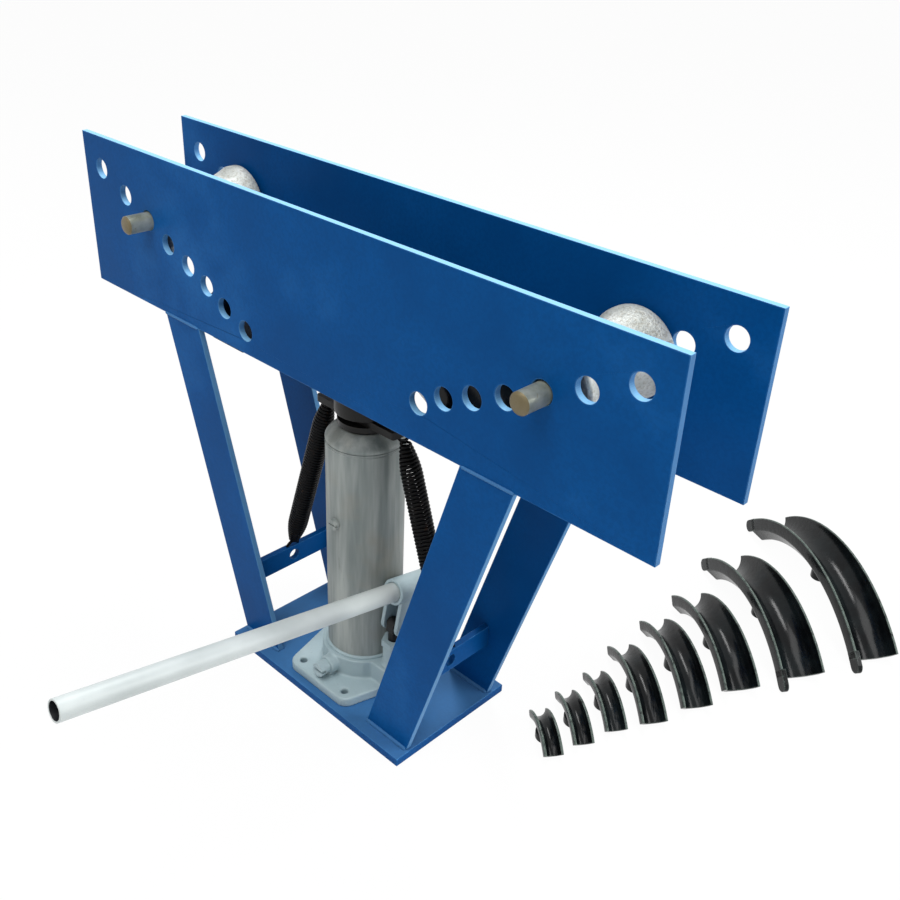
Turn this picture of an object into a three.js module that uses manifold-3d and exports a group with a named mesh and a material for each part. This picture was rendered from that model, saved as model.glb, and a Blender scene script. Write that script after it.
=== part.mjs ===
// Upright hydraulic pipe bender with a bottle jack, two side plates, two rollers and a row of pipe dies.
// Millimetres, +Z up. X runs along the side plates, Y across them, and the origin is the middle of the
// base plate's underside. The pump handle points to -Y.
import * as THREE from "three";
import { mergeVertices } from "three/addons/utils/BufferGeometryUtils.js";
import Module from "manifold-3d";

const wasm = await Module();
wasm.setup();

// Clearances and cuts
const runGap = 0.4; // round a pin, rod or bore that moves
const seatGap = 0.3; // under a piece that rests on a round seat
const overrun = 6; // how far a cutter stands past the faces it cuts
const weldLimit = 0.0001; // corners nearer than this are one corner

// Roundness, as steps in a full turn
const fineSteps = 24;
const plainSteps = 18;
const smallSteps = 12;
const holeSteps = 9; // in half a turn of a pin hole
const cornerSteps = 4; // in a rounded corner

// Base plate and side plates
const baseLength = 290;
const baseDepth = 170;
const baseThickness = 10;
const plateLength = 800;
const plateHeight = 175;
const plateThickness = 7;
const plateGap = 122;
const plateUnderside = 390; // height of the side plates' lower edge above the floor

// Legs: flat bars in the plane of the side plates, leaning outwards
const legWidth = 60;
const legFootSpan = 283; // over the outer edges, on the base plate
const legTopSpan = 519; // over the outer edges, under the side plates

// Braces between the near and the far legs
const braceHeight = 26;
const braceThickness = 8;
const braceSpan = 268; // between the middles of the two braces
const braceUnderside = 80;
const braceHoleDiameter = 14;
const braceHoleHeight = 13; // of the hole's middle above the brace's underside

// Pin holes in a falling curve towards the middle, one fewer at the right end
const pinHoleDiameter = 22;
const holeReachShares = [0.915, 0.8, 0.695, 0.605, 0.516, 0.435, 0.36, 0.2725]; // of half the length
const holeDropShares = [0.206, 0.32, 0.423, 0.526, 0.606, 0.68, 0.771, 0.851]; // of the height
const rightHoles = 7;
const usedHole = 2;

// Rollers and their pins
const pinDiameter = 20;
const pinNearReach = 28;
const pinFarReach = 12;
const pinEdge = 1.5;
const rollerDiameter = 82;
const rollerWaistDiameter = 58;
const rollerWidth = 114;
const rollerRim = 9;
const rollerGrooveSteps = 6;

// Jack foot and casting
const footFrontWidth = 96;
const footWidth = 132;
const footDepth = 152;
const footThickness = 12;
const footCornerCut = 10;
const footHoleDiameter = 9;
const footHoleInset = 12;
const castingDiameter = 100;
const castingHeight = 24;
const ballDiameter = 12;
const pumpBallDiameter = 9;

// Jack tubes, ram and gland
const reservoirDiameter = 86;
const reservoirWall = 4;
const reservoirHeight = 267;
const cylinderBore = 52;
const cylinderWall = 5;
const capHeight = 17;
const capTopDiameter = 60;
const capRim = 5;
const capSpigot = 12;
const wiperHeight = 6;
const wiperWall = 4;
const ramDiameter = 44;
const pistonHeight = 20;
const pistonSealHeight = 7;
const pistonRest = 6; // above the floor of the cylinder
const neckDiameter = 24;
const neckLength = 34;
const ramProud = 2; // of the shoulder over the gland when the ram is down

// Ram head and the bar that the return springs pull on
const crossbarLength = 120;
const crossbarDepth = 34;
const crossbarThickness = 8;
const crossbarHubDiameter = 60;
const crossbarHubDrop = 6; // of the hub below the arms
const crossbarHoleDiameter = 13;
const crossbarHoleRim = 6.5; // metal left outside the hole
const headDiameter = 66;
const headHeight = 30;
const spigotDiameter = 16;
const spigotHeight = 9;

// Return springs
const springDiameter = 24;
const springWire = 4.2;
const springLoopRadius = 9;
const springCurls = 28;
const curlSteps = 8;
const wireSides = 5;
const leadSteps = 3;
const loopSteps = 10;
const loopTurnShare = 0.78; // of a full turn, open where the loop is hooked on

// Filler plug and release valve
const fillerHeight = 176; // above the casting
const fillerDiameter = 8;
const fillerHeadDiameter = 13;
const fillerHeadHeight = 5;
const valveHeight = 12; // above the foot
const valveBossDiameter = 22;
const valveBossReach = 60; // from the jack's axis
const valveStemDiameter = 11;
const valveStemLength = 16;
const valveHeadDiameter = 17;
const valveHeadLength = 13;
const valveSlot = 4;

// Pump
const pumpReach = 60; // from the jack's axis along X
const pumpSet = -10; // of its axis along Y
const pumpDiameter = 26;
const pumpHeight = 36;
const pumpGlandDiameter = 30;
const pumpGlandHeight = 8;
const plungerDiameter = 14;
const plungerDepth = 6; // below the casting's top, at the bottom of the stroke
const plungerEyeHeight = 56; // of the pin above the casting's top
const plungerEyeWidth = 11;
const plungerEyeDepth = 16;
const plungerPinDiameter = 8;
const leverArm = 38; // from the fulcrum to the plunger's pin
const leverSwing = THREE.MathUtils.degToRad(30);
const fulcrumPinDiameter = 10;
const fulcrumWidth = 12;
const lugDiameter = 20;
const lugThickness = 5;
const lugGap = 16;
const pinHeadLength = 3;
const pumpBossMargin = 3; // of the casting round the pump and the bracket

// Handle socket and handle
const handlePitch = THREE.MathUtils.degToRad(11.4);
const socketDiameter = 30;
const socketRise = 27.6; // of its axis over the fulcrum, square to the handle
const socketMouth = 47; // from the fulcrum, along the handle
const socketBack = 24;
const handleDiameter = 21.3;
const handleWall = 2.6;
const handleLength = 445;
const handleGrip = 55; // length inside the socket

// Dies
const dieLip = 3; // flat edge beside the groove, on a loose die
const dieWall = 6; // metal under the groove, on a loose die
const dieBandShare = 0.55; // height of the side band as a share of groove radius plus wall
const dieBackShare = 0.55; // half-width of the back as a share of the half-width
const grooveSteps = 6;
const bossDiameter = 24;
const bossLength = 18; // below the arc's inside, at most
const bossRoomShare = 0.7; // of the height under the arc that the boss may take
const socketBoreDiameter = 16.8;
const socketBoreDepth = 10;
const dieSpread = THREE.MathUtils.degToRad(40); // half of the arc
const dieYaw = THREE.MathUtils.degToRad(-36);
const dieArcSteps = [8, 8, 8, 10, 10, 12, 14, 16];
const dieChords = [72, 85, 97, 133, 157, 180, 240, 306];
const dieWidths = [22, 23.5, 25.5, 31, 36, 44, 55, 57];
const dieNames = ["one", "two", "three", "four", "five", "six", "seven", "eight"];
const rowStartX = 229; // middle of the smallest loose die
const rowStartY = 63;
const rowPitches = [41, 46, 50, 63, 68, 88, 116]; // from each loose die to the next, along Y
const rowDriftShare = 0.176; // sideways for each step along Y
const earedDies = 2; // the largest loose dies, which have ears on the near side
const earLength = 9;
const earThickness = 6;

// The large die on the ram
const bigDieGroove = 45;
const bigDieLip = 6;
const bigDieWall = 19;
const bigDieInnerRadius = 226;
const bigDieSpread = THREE.MathUtils.degToRad(50);
const bigDieBossDiameter = 64;
const bigDieBossLength = 62;
const bigDieSteps = 16;

// Heights and places that follow
const plateMiddleY = plateGap / 2 + plateThickness / 2;
const footTop = baseThickness + footThickness;
const castingTop = footTop + castingHeight;
const reservoirTop = castingTop + reservoirHeight;
const capTop = reservoirTop + capHeight;
const ramShoulder = capTop + ramProud;
const crossbarUnderside = ramShoulder + crossbarHubDrop;
const crossbarTop = crossbarUnderside + crossbarThickness;
const headTop = crossbarTop + headHeight;
const ramRadius = ramDiameter / 2;
const cylinderRadius = cylinderBore / 2;
const leverRestAngle = leverSwing / 2; // the arm hangs this far below level, so that it ends as far above
const plungerPinZ = castingTop + plungerEyeHeight;
const fulcrumY = pumpSet + leverArm * Math.cos(leverRestAngle);
const fulcrumZ = plungerPinZ + leverArm * Math.sin(leverRestAngle);

const finish = (color, roughness, metalness) =>
  new THREE.MeshStandardMaterial({ color: new THREE.Color(color), roughness, metalness });
const blueEnamel = finish("#174d86", 0.42, 0.1);
const greyPaint = finish("#838984", 0.55, 0.1);
const paleGreyPaint = finish("#c6cbc4", 0.5, 0.1);
const silverPaint = finish("#c9ccc8", 0.5, 0.4);
const bareSteel = finish("#a39a84", 0.38, 0.9);
const darkSteel = finish("#2b2a28", 0.45, 0.7);
const blackEnamel = finish("#101214", 0.25, 0.1);
const springSteel = finish("#0f0e0d", 0.4, 0.6);
const sealRubber = finish("#161616", 0.8, 0);

const root = new THREE.Group();

// Booleans on closed meshes
function toSolid(geometry) {
  const bare = geometry.clone();
  bare.deleteAttribute("normal");
  bare.deleteAttribute("uv");
  const merged = mergeVertices(bare, weldLimit);
  return new wasm.Manifold(
    new wasm.Mesh({
      numProp: 3,
      vertProperties: merged.attributes.position.array,
      triVerts: new Uint32Array(merged.index.array),
    }),
  );
}

function toGeometry(solid) {
  const { numProp, vertProperties, triVerts } = solid.getMesh();
  const geometry = new THREE.BufferGeometry();
  const vertices = new THREE.InterleavedBuffer(vertProperties, numProp);
  const places = new Float32Array(vertices.count * 3);
  for (let i = 0; i < vertices.count; i++) {
    places.set(vertProperties.subarray(i * numProp, i * numProp + 3), i * 3);
  }
  geometry.setAttribute("position", new THREE.BufferAttribute(places, 3));
  geometry.setIndex(new THREE.BufferAttribute(triVerts, 1));
  geometry.computeVertexNormals();
  return geometry;
}

function join(...geometries) {
  return toGeometry(geometries.map(toSolid).reduce((whole, next) => whole.add(next)));
}

function cut(body, ...tools) {
  return toGeometry(tools.map(toSolid).reduce((rest, tool) => rest.subtract(tool), toSolid(body)));
}

function overlapOf(first, second) {
  return toGeometry(toSolid(first).intersect(toSolid(second)));
}

function place(name, geometry, material, parent, x = 0, y = 0, z = 0) {
  const mesh = new THREE.Mesh(geometry, material);
  mesh.name = name;
  mesh.position.set(x, y, z);
  parent.add(mesh);
  return mesh;
}

// Shapes
function block(low, high) {
  const size = high.map((top, i) => top - low[i]);
  const middle = high.map((top, i) => (top + low[i]) / 2);
  return new THREE.BoxGeometry(...size).translate(...middle);
}

function upright(radius, low, high, steps = plainSteps) {
  const height = high - low;
  return new THREE.CylinderGeometry(radius, radius, height, steps)
    .rotateX(Math.PI / 2)
    .translate(0, 0, low + height / 2);
}

function alongX(radius, low, high, steps = smallSteps) {
  return upright(radius, low, high, steps).rotateY(Math.PI / 2);
}

function alongY(radius, low, high, steps = smallSteps) {
  return upright(radius, -high, -low, steps).rotateX(Math.PI / 2);
}

function turned(profile, steps = fineSteps) {
  const points = profile.map(([radius, height]) => new THREE.Vector2(radius, height));
  return new THREE.LatheGeometry(points, steps).rotateX(Math.PI / 2);
}

function sleeve(inner, outer, low, high, steps = fineSteps) {
  return turned([[inner, low], [outer, low], [outer, high], [inner, high], [inner, low]], steps);
}

function outlined(points) {
  return new THREE.Shape(points.map(([x, y]) => new THREE.Vector2(x, y)));
}

// A flat piece whose outline lies in XZ, between two Y faces
function platedXZ(shape, low, high) {
  return new THREE.ExtrudeGeometry(shape, { depth: high - low, bevelEnabled: false, curveSegments: holeSteps })
    .rotateX(Math.PI / 2)
    .translate(0, high, 0);
}

// A flat piece whose outline lies in YZ, between two X faces
function platedYZ(shape, low, high) {
  return new THREE.ExtrudeGeometry(shape, { depth: high - low, bevelEnabled: false, curveSegments: holeSteps })
    .applyMatrix4(new THREE.Matrix4().set(0, 0, 1, low, 1, 0, 0, 0, 0, 1, 0, 0, 0, 0, 0, 1));
}

// Frame
function holePlaces() {
  return holeReachShares.flatMap((reach, i) =>
    (i < rightHoles ? [-1, 1] : [-1]).map((side) => ({
      x: (side * reach * plateLength) / 2,
      z: plateUnderside + plateHeight * (1 - holeDropShares[i]),
    })),
  );
}

function sidePlate() {
  const shape = outlined([
    [-plateLength / 2, plateUnderside],
    [plateLength / 2, plateUnderside],
    [plateLength / 2, plateUnderside + plateHeight],
    [-plateLength / 2, plateUnderside + plateHeight],
  ]);
  for (const { x, z } of holePlaces()) {
    const hole = new THREE.Path();
    hole.absarc(x, z, pinHoleDiameter / 2, 0, 2 * Math.PI, true);
    shape.holes.push(hole);
  }
  return platedXZ(shape, -plateThickness / 2, plateThickness / 2);
}

function leg(side) {
  const rise = plateUnderside - baseThickness;
  const lean = Math.atan((legTopSpan - legFootSpan) / 2 / rise);
  const across = legWidth / Math.cos(lean);
  const shape = outlined([
    [(side * legFootSpan) / 2, baseThickness],
    [(side * legTopSpan) / 2, plateUnderside],
    [side * (legTopSpan / 2 - across), plateUnderside],
    [side * (legFootSpan / 2 - across), baseThickness],
  ]);
  return platedXZ(shape, -plateThickness / 2, plateThickness / 2);
}

function brace() {
  const bar = block(
    [-braceThickness / 2, -plateGap / 2, braceUnderside],
    [braceThickness / 2, plateGap / 2, braceUnderside + braceHeight],
  );
  const reach = braceThickness / 2 + overrun;
  const hole = alongX(braceHoleDiameter / 2, -reach, reach).translate(0, 0, braceUnderside + braceHoleHeight);
  return cut(bar, hole);
}

function buildFrame() {
  const frame = new THREE.Group();
  const basePlate = block(
    [-baseLength / 2, -baseDepth / 2, 0],
    [baseLength / 2, baseDepth / 2, baseThickness],
  );
  place("base_plate", basePlate, blueEnamel, frame);
  for (const [row, y] of [["near", -plateMiddleY], ["far", plateMiddleY]]) {
    place(row + "_side_plate", sidePlate(), blueEnamel, frame, 0, y);
    place(row + "_left_leg", leg(-1), blueEnamel, frame, 0, y);
    place(row + "_right_leg", leg(1), blueEnamel, frame, 0, y);
  }
  place("left_brace", brace(), blueEnamel, frame, -braceSpan / 2);
  place("right_brace", brace(), blueEnamel, frame, braceSpan / 2);
  return frame;
}

// Rollers on their pins
function roller() {
  const rim = rollerDiameter / 2;
  const dip = (rollerDiameter - rollerWaistDiameter) / 2;
  const half = rollerWidth / 2;
  const grooveHalf = half - rollerRim;
  const bore = pinDiameter / 2 + runGap;
  const profile = [[bore, -half], [rim, -half]];
  for (let i = 0; i <= rollerGrooveSteps; i++) {
    const along = (2 * i) / rollerGrooveSteps - 1;
    profile.push([rim - dip * Math.cos((along * Math.PI) / 2), along * grooveHalf]);
  }
  profile.push([rim, half], [bore, half], [bore, -half]);
  return turned(profile).rotateX(Math.PI / 2);
}

function rollerPin() {
  const radius = pinDiameter / 2;
  const half = plateGap / 2 + plateThickness;
  const low = -half - pinNearReach;
  const high = half + pinFarReach;
  const profile = [
    [0, low],
    [radius - pinEdge, low],
    [radius, low + pinEdge],
    [radius, high - pinEdge],
    [radius - pinEdge, high],
    [0, high],
  ];
  return turned(profile).rotateX(-Math.PI / 2);
}

function buildRollers() {
  const rollers = new THREE.Group();
  const height = plateUnderside + plateHeight * (1 - holeDropShares[usedHole]);
  const sink = pinHoleDiameter / 2 - pinDiameter / 2 - seatGap; // the pin lies on the holes' lower sides
  for (const [side, sign] of [["left", -1], ["right", 1]]) {
    const x = (sign * holeReachShares[usedHole] * plateLength) / 2;
    place(side + "_roller", roller(), silverPaint, rollers, x, 0, height - sink);
    place(side + "_roller_pin", rollerPin(), bareSteel, rollers, x, 0, height - sink);
  }
  return rollers;
}

// Jack: everything below is placed about the ram's axis
function footPlate() {
  const halfDepth = footDepth / 2;
  const halfWidth = footWidth / 2;
  const halfFront = footFrontWidth / 2;
  const shoulder = (footWidth - footFrontWidth) / 2;
  const corner = footCornerCut;
  const cornerDrift = (corner * shoulder) / (halfDepth - corner);
  const shape = new THREE.Shape();
  shape.moveTo(-halfFront + corner, -halfDepth);
  shape.lineTo(halfFront - corner, -halfDepth);
  shape.quadraticCurveTo(halfFront, -halfDepth, halfFront + cornerDrift, -halfDepth + corner);
  shape.lineTo(halfWidth, -corner);
  shape.lineTo(halfWidth, halfDepth - shoulder);
  shape.quadraticCurveTo(halfWidth, halfDepth, halfWidth - shoulder, halfDepth);
  shape.lineTo(shoulder - halfWidth, halfDepth);
  shape.quadraticCurveTo(-halfWidth, halfDepth, -halfWidth, halfDepth - shoulder);
  shape.lineTo(-halfWidth, -corner);
  shape.lineTo(-halfFront - cornerDrift, -halfDepth + corner);
  shape.quadraticCurveTo(-halfFront, -halfDepth, -halfFront + corner, -halfDepth);
  for (const [x, y] of [
    [halfFront - footHoleInset, -halfDepth + footHoleInset],
    [halfWidth - 2 * footHoleInset, halfDepth - footHoleInset],
  ]) {
    for (const side of [-1, 1]) {
      const hole = new THREE.Path();
      hole.absarc(side * x, y, footHoleDiameter / 2, 0, 2 * Math.PI, true);
      shape.holes.push(hole);
    }
  }
  const depth = footThickness;
  return new THREE.ExtrudeGeometry(shape, { depth, bevelEnabled: false, curveSegments: cornerSteps })
    .translate(0, 0, baseThickness);
}

function jackBase() {
  const bossLow = pumpSet - pumpGlandDiameter / 2 - pumpBossMargin;
  const bossHigh = fulcrumY + lugDiameter / 2 + pumpBossMargin;
  const bossEnd = pumpReach + pumpGlandDiameter / 2 + pumpBossMargin;
  const valveZ = footTop + valveHeight;
  const casting = upright(castingDiameter / 2, footTop, castingTop, fineSteps);
  const pumpBoss = block([0, bossLow, footTop], [bossEnd, bossHigh, castingTop]);
  const valveMouth = -valveBossReach;
  const valveBoss = alongY(valveBossDiameter / 2, valveMouth, 0).translate(0, 0, valveZ);
  const valveHole = alongY(valveStemDiameter / 2 + runGap, valveMouth - overrun, valveMouth + valveStemLength)
    .translate(0, 0, valveZ);
  const high = castingTop + overrun;
  const ballHole = upright(ballDiameter / 2 + runGap, castingTop - ballDiameter, high, smallSteps);
  const plungerFloor = castingTop - plungerDepth - runGap;
  const plungerHole = upright(plungerDiameter / 2 + runGap, plungerFloor, high, smallSteps)
    .translate(pumpReach, pumpSet, 0);
  const pumpBallFloor = plungerFloor - pumpBallDiameter - runGap;
  const pumpBallHole = upright(pumpBallDiameter / 2 + runGap, pumpBallFloor, high, smallSteps)
    .translate(pumpReach, pumpSet, 0);
  return cut(join(footPlate(), casting, pumpBoss, valveBoss), valveHole, ballHole, plungerHole, pumpBallHole);
}

function reservoirTube() {
  const outer = reservoirDiameter / 2;
  const tube = sleeve(outer - reservoirWall, outer, castingTop, reservoirTop);
  const hole = alongY(fillerDiameter / 2 + seatGap, -outer - overrun, 0);
  hole.translate(0, 0, castingTop + fillerHeight);
  return cut(tube, hole);
}

function glandCap() {
  const bore = ramRadius + runGap;
  const spigot = cylinderRadius - seatGap;
  const wiperSeat = bore + wiperWall;
  const profile = [
    [bore, reservoirTop - capSpigot],
    [spigot, reservoirTop - capSpigot],
    [spigot, reservoirTop],
    [reservoirDiameter / 2, reservoirTop],
    [reservoirDiameter / 2, reservoirTop + capRim],
    [capTopDiameter / 2, capTop],
    [wiperSeat, capTop],
    [wiperSeat, capTop - wiperHeight],
    [bore, capTop - wiperHeight],
    [bore, reservoirTop - capSpigot],
  ];
  return turned(profile);
}

function fillerPlug() {
  const outer = reservoirDiameter / 2;
  const stem = alongY(fillerDiameter / 2, -outer - fillerHeadHeight, -outer + reservoirWall);
  const head = alongY(fillerHeadDiameter / 2, -outer - seatGap - fillerHeadHeight, -outer - seatGap);
  return join(stem, head);
}

function releaseValve() {
  const seat = -valveBossReach;
  const stem = alongY(valveStemDiameter / 2, seat - valveSlot, seat + valveStemLength - runGap);
  const head = alongY(valveHeadDiameter / 2, seat - valveHeadLength, seat);
  const reach = valveHeadDiameter / 2 + overrun;
  const slotLow = [-reach, seat - valveHeadLength - overrun, -valveSlot / 2];
  const slot = block(slotLow, [reach, seat - valveHeadLength / 2, valveSlot / 2]);
  return cut(join(stem, head), slot);
}

function buildJack() {
  const jack = new THREE.Group();
  place("jack_base", jackBase(), paleGreyPaint, jack);
  place("reservoir_tube", reservoirTube(), greyPaint, jack);
  const cylinder = sleeve(cylinderRadius, cylinderRadius + cylinderWall, castingTop, reservoirTop);
  place("pressure_cylinder", cylinder, bareSteel, jack);
  place("gland_cap", glandCap(), greyPaint, jack);
  const wiper = sleeve(ramRadius + seatGap, ramRadius + runGap + wiperWall - seatGap, 0, wiperHeight);
  place("wiper_seal", wiper, sealRubber, jack, 0, 0, capTop - wiperHeight);
  const ball = new THREE.SphereGeometry(ballDiameter / 2, smallSteps, smallSteps / 2);
  place("delivery_ball", ball, bareSteel, jack, 0, 0, castingTop - ballDiameter / 2 + seatGap);
  place("filler_plug", fillerPlug(), greyPaint, jack, 0, 0, castingTop + fillerHeight);
  place("release_valve", releaseValve(), paleGreyPaint, jack, 0, 0, footTop + valveHeight);
  return jack;
}

// Ram with its piston, its head and the spring bar
function ramRod() {
  const foot = castingTop + pistonRest;
  const land = cylinderRadius - runGap;
  const profile = [
    [0, foot],
    [land, foot],
    [land, foot + pistonHeight],
    [ramRadius, foot + pistonHeight],
    [ramRadius, ramShoulder],
    [neckDiameter / 2, ramShoulder],
    [neckDiameter / 2, ramShoulder + neckLength],
    [0, ramShoulder + neckLength],
  ];
  return turned(profile);
}

// From a loop's centre to the rim of metal inside it, when the loop pulls on that rim
function loopSeat(rim) {
  const inner = springLoopRadius - springWire / 2;
  return Math.sqrt(inner ** 2 - (rim / 2) ** 2) - seatGap;
}

function springHoleX() {
  return crossbarLength / 2 - crossbarHoleRim - crossbarHoleDiameter / 2;
}

function crossbar() {
  const bar = block(
    [-crossbarLength / 2, -crossbarDepth / 2, crossbarUnderside],
    [crossbarLength / 2, crossbarDepth / 2, crossbarTop],
  );
  const hub = upright(crossbarHubDiameter / 2, ramShoulder, crossbarTop, fineSteps);
  const low = ramShoulder - overrun;
  const high = crossbarTop + overrun;
  const holes = [-1, 1].map((side) =>
    upright(crossbarHoleDiameter / 2, low, high, smallSteps).translate(side * springHoleX(), 0, 0),
  );
  return cut(join(bar, hub), upright(neckDiameter / 2 + seatGap, low, high), ...holes);
}

function ramHead() {
  const body = turned([
    [0, crossbarTop],
    [headDiameter / 2, crossbarTop],
    [headDiameter / 2, headTop],
    [spigotDiameter / 2, headTop],
    [spigotDiameter / 2, headTop + spigotHeight],
    [0, headTop + spigotHeight],
  ]);
  const depth = ramShoulder + neckLength + seatGap;
  return cut(body, upright(neckDiameter / 2 + seatGap, crossbarTop - overrun, depth));
}

function buildRam() {
  const ram = new THREE.Group();
  place("ram_rod", ramRod(), bareSteel, ram);
  const sealLow = castingTop + pistonRest + pistonHeight;
  const seal = sleeve(ramRadius + seatGap, cylinderRadius - runGap, sealLow, sealLow + pistonSealHeight);
  place("piston_seal", seal, sealRubber, ram);
  place("spring_crossbar", crossbar(), darkSteel, ram);
  place("ram_head", ramHead(), darkSteel, ram);
  return ram;
}

// Return springs: one wire each, with a loop at both ends and the curls between
function springSpots(low, high) {
  const axis = new THREE.Vector3().subVectors(high, low);
  const length = axis.length();
  axis.normalize();
  const side = new THREE.Vector3(0, 1, 0);
  const out = new THREE.Vector3().crossVectors(side, axis);
  const curlRadius = (springDiameter - springWire) / 2;
  const lead = springLoopRadius + springWire;
  const spots = [];
  const put = (along, across, sideways) => {
    const spot = low.clone().addScaledVector(axis, along);
    spots.push(spot.addScaledVector(out, across).addScaledVector(side, sideways));
  };
  const loop = (centre, way, from, count) => {
    for (let i = from; i < count; i++) {
      const angle = (way > 0 ? loopSteps - i : i) * ((loopTurnShare * 2 * Math.PI) / loopSteps);
      put(centre + way * springLoopRadius * Math.cos(angle), springLoopRadius * Math.sin(angle), 0);
    }
  };
  loop(0, 1, 0, loopSteps);
  const bodyLength = length - 2 * lead;
  for (let i = 0; i <= springCurls * curlSteps; i++) {
    const turn = (i / curlSteps) * 2 * Math.PI;
    const grow = Math.min(1, (i + 1) / leadSteps, (springCurls * curlSteps - i + 1) / leadSteps);
    const along = lead + (bodyLength * i) / (springCurls * curlSteps);
    put(along, curlRadius * grow * Math.sin(turn), curlRadius * grow * Math.cos(turn));
  }
  loop(length, -1, 0, loopSteps + 1);
  return spots;
}

// A way made of straight stretches, whose even steps fall on its corners
class CorneredWay extends THREE.Curve {
  constructor(spots) {
    super();
    this.spots = spots;
  }

  getPoint(share) {
    const reached = share * (this.spots.length - 1);
    const i = Math.max(0, Math.min(this.spots.length - 2, Math.floor(reached)));
    return this.spots[i].clone().lerp(this.spots[i + 1], reached - i);
  }

  getUtoTmapping(share) {
    return share;
  }
}

function wireAlong(spots, diameter) {
  const corners = Array.from({ length: wireSides }, (_, k) => {
    const angle = (2 * Math.PI * k) / wireSides;
    return [(diameter / 2) * Math.cos(angle), (diameter / 2) * Math.sin(angle)];
  });
  return new THREE.ExtrudeGeometry(outlined(corners), {
    steps: spots.length - 1,
    bevelEnabled: false,
    extrudePath: new CorneredWay(spots),
  });
}

// Least clear gap between two stretches of one wire that aren't neighbours along it
function leastGap(spots, diameter) {
  let least = Infinity;
  spots.forEach((spot, i) => {
    let travelled = 0;
    for (let j = i + 1; j < spots.length; j++) {
      travelled += spots[j].distanceTo(spots[j - 1]);
      if (travelled > 2 * diameter) least = Math.min(least, spot.distanceTo(spots[j]) - diameter);
    }
  });
  return least;
}

function buildSprings() {
  const springs = new THREE.Group();
  const lowZ = braceUnderside + braceHoleHeight + braceHoleDiameter / 2 + loopSeat(braceThickness);
  const highZ = crossbarTop - loopSeat(crossbarHoleRim);
  const highX = (crossbarLength - crossbarHoleRim) / 2;
  for (const [name, side] of [["left", -1], ["right", 1]]) {
    const low = new THREE.Vector3((side * braceSpan) / 2, 0, lowZ);
    const high = new THREE.Vector3(side * highX, 0, highZ);
    const spots = springSpots(low, high);
    console.log(name + " spring, least gap to itself: " + leastGap(spots, springWire).toFixed(2) + " mm");
    place(name + "_return_spring", wireAlong(spots, springWire), springSteel, springs);
  }
  return springs;
}

// Pump beside the jack
function pumpCylinder() {
  const bore = plungerDiameter / 2 + runGap;
  const top = castingTop + pumpHeight;
  return turned(
    [
      [bore, castingTop],
      [pumpDiameter / 2, castingTop],
      [pumpDiameter / 2, top - pumpGlandHeight],
      [pumpGlandDiameter / 2, top - pumpGlandHeight],
      [pumpGlandDiameter / 2, top],
      [bore, top],
      [bore, castingTop],
    ],
    plainSteps,
  );
}

function plunger() {
  const foot = castingTop - plungerDepth;
  const eyeLow = plungerPinZ - plungerEyeDepth;
  const rod = upright(plungerDiameter / 2, foot, eyeLow + plungerEyeDepth / 2, smallSteps);
  const eye = block(
    [-plungerEyeWidth / 2, -plungerEyeDepth / 2, eyeLow],
    [plungerEyeWidth / 2, plungerEyeDepth / 2, plungerPinZ + plungerEyeDepth / 2],
  );
  const reach = plungerEyeWidth / 2 + overrun;
  const hole = alongX(plungerPinDiameter / 2 + seatGap, -reach, reach).translate(0, 0, plungerPinZ);
  return cut(join(rod, eye), hole);
}

function headedPin(diameter) {
  const half = lugGap / 2 + lugThickness + seatGap;
  return join(
    alongX(diameter / 2, -half - pinHeadLength, half + pinHeadLength),
    alongX(diameter / 2 + pinHeadLength / 2, -half - pinHeadLength, -half),
  );
}

function fulcrumBracket() {
  const half = fulcrumWidth / 2;
  const radius = lugDiameter / 2;
  const shape = new THREE.Shape();
  shape.moveTo(-radius, castingTop - fulcrumZ);
  shape.lineTo(radius, castingTop - fulcrumZ);
  shape.lineTo(radius, 0);
  shape.absarc(0, 0, radius, 0, Math.PI, false);
  const hole = new THREE.Path();
  hole.absarc(0, 0, fulcrumPinDiameter / 2 + seatGap, 0, 2 * Math.PI, true);
  shape.holes.push(hole);
  return platedYZ(shape, -half, half);
}

function buildPump() {
  const pump = new THREE.Group();
  pump.position.set(pumpReach, pumpSet, 0);
  place("pump_cylinder", pumpCylinder(), paleGreyPaint, pump);
  place("plunger", plunger(), bareSteel, pump);
  place("plunger_pin", headedPin(plungerPinDiameter), darkSteel, pump, 0, 0, plungerPinZ);
  const ball = new THREE.SphereGeometry(pumpBallDiameter / 2, smallSteps, smallSteps / 2);
  const ballZ = castingTop - plungerDepth - runGap - runGap - pumpBallDiameter / 2;
  place("suction_ball", ball, bareSteel, pump, 0, 0, ballZ);
  place("fulcrum_bracket", fulcrumBracket(), paleGreyPaint, pump, 0, fulcrumY - pumpSet, fulcrumZ);
  place("fulcrum_pin", headedPin(fulcrumPinDiameter), darkSteel, pump, 0, fulcrumY - pumpSet, fulcrumZ);
  return pump;
}

// Handle socket, turned with the handle about the fulcrum
function plungerPinPlace() {
  const angle = Math.PI + leverRestAngle + handlePitch;
  const middleArm = (leverArm * (1 + Math.cos(leverRestAngle))) / 2;
  return [middleArm * Math.cos(angle), middleArm * Math.sin(angle)];
}

function leverLug(low, high) {
  const radius = lugDiameter / 2;
  const [pinY, pinZ] = plungerPinPlace();
  const arm = Math.hypot(pinY, pinZ);
  const [downY, downZ] = [(-radius * pinZ) / arm, (radius * pinY) / arm]; // square to the arm
  const web = platedYZ(
    outlined([
      [radius, 0],
      [radius, socketRise],
      [pinY - radius, socketRise],
      [pinY - radius, pinZ],
      [pinY + downY, pinZ + downZ],
      [downY, downZ],
    ]),
    low,
    high,
  );
  return join(web, alongX(radius, low, high), alongX(radius, low, high).translate(0, pinY, pinZ));
}

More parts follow.
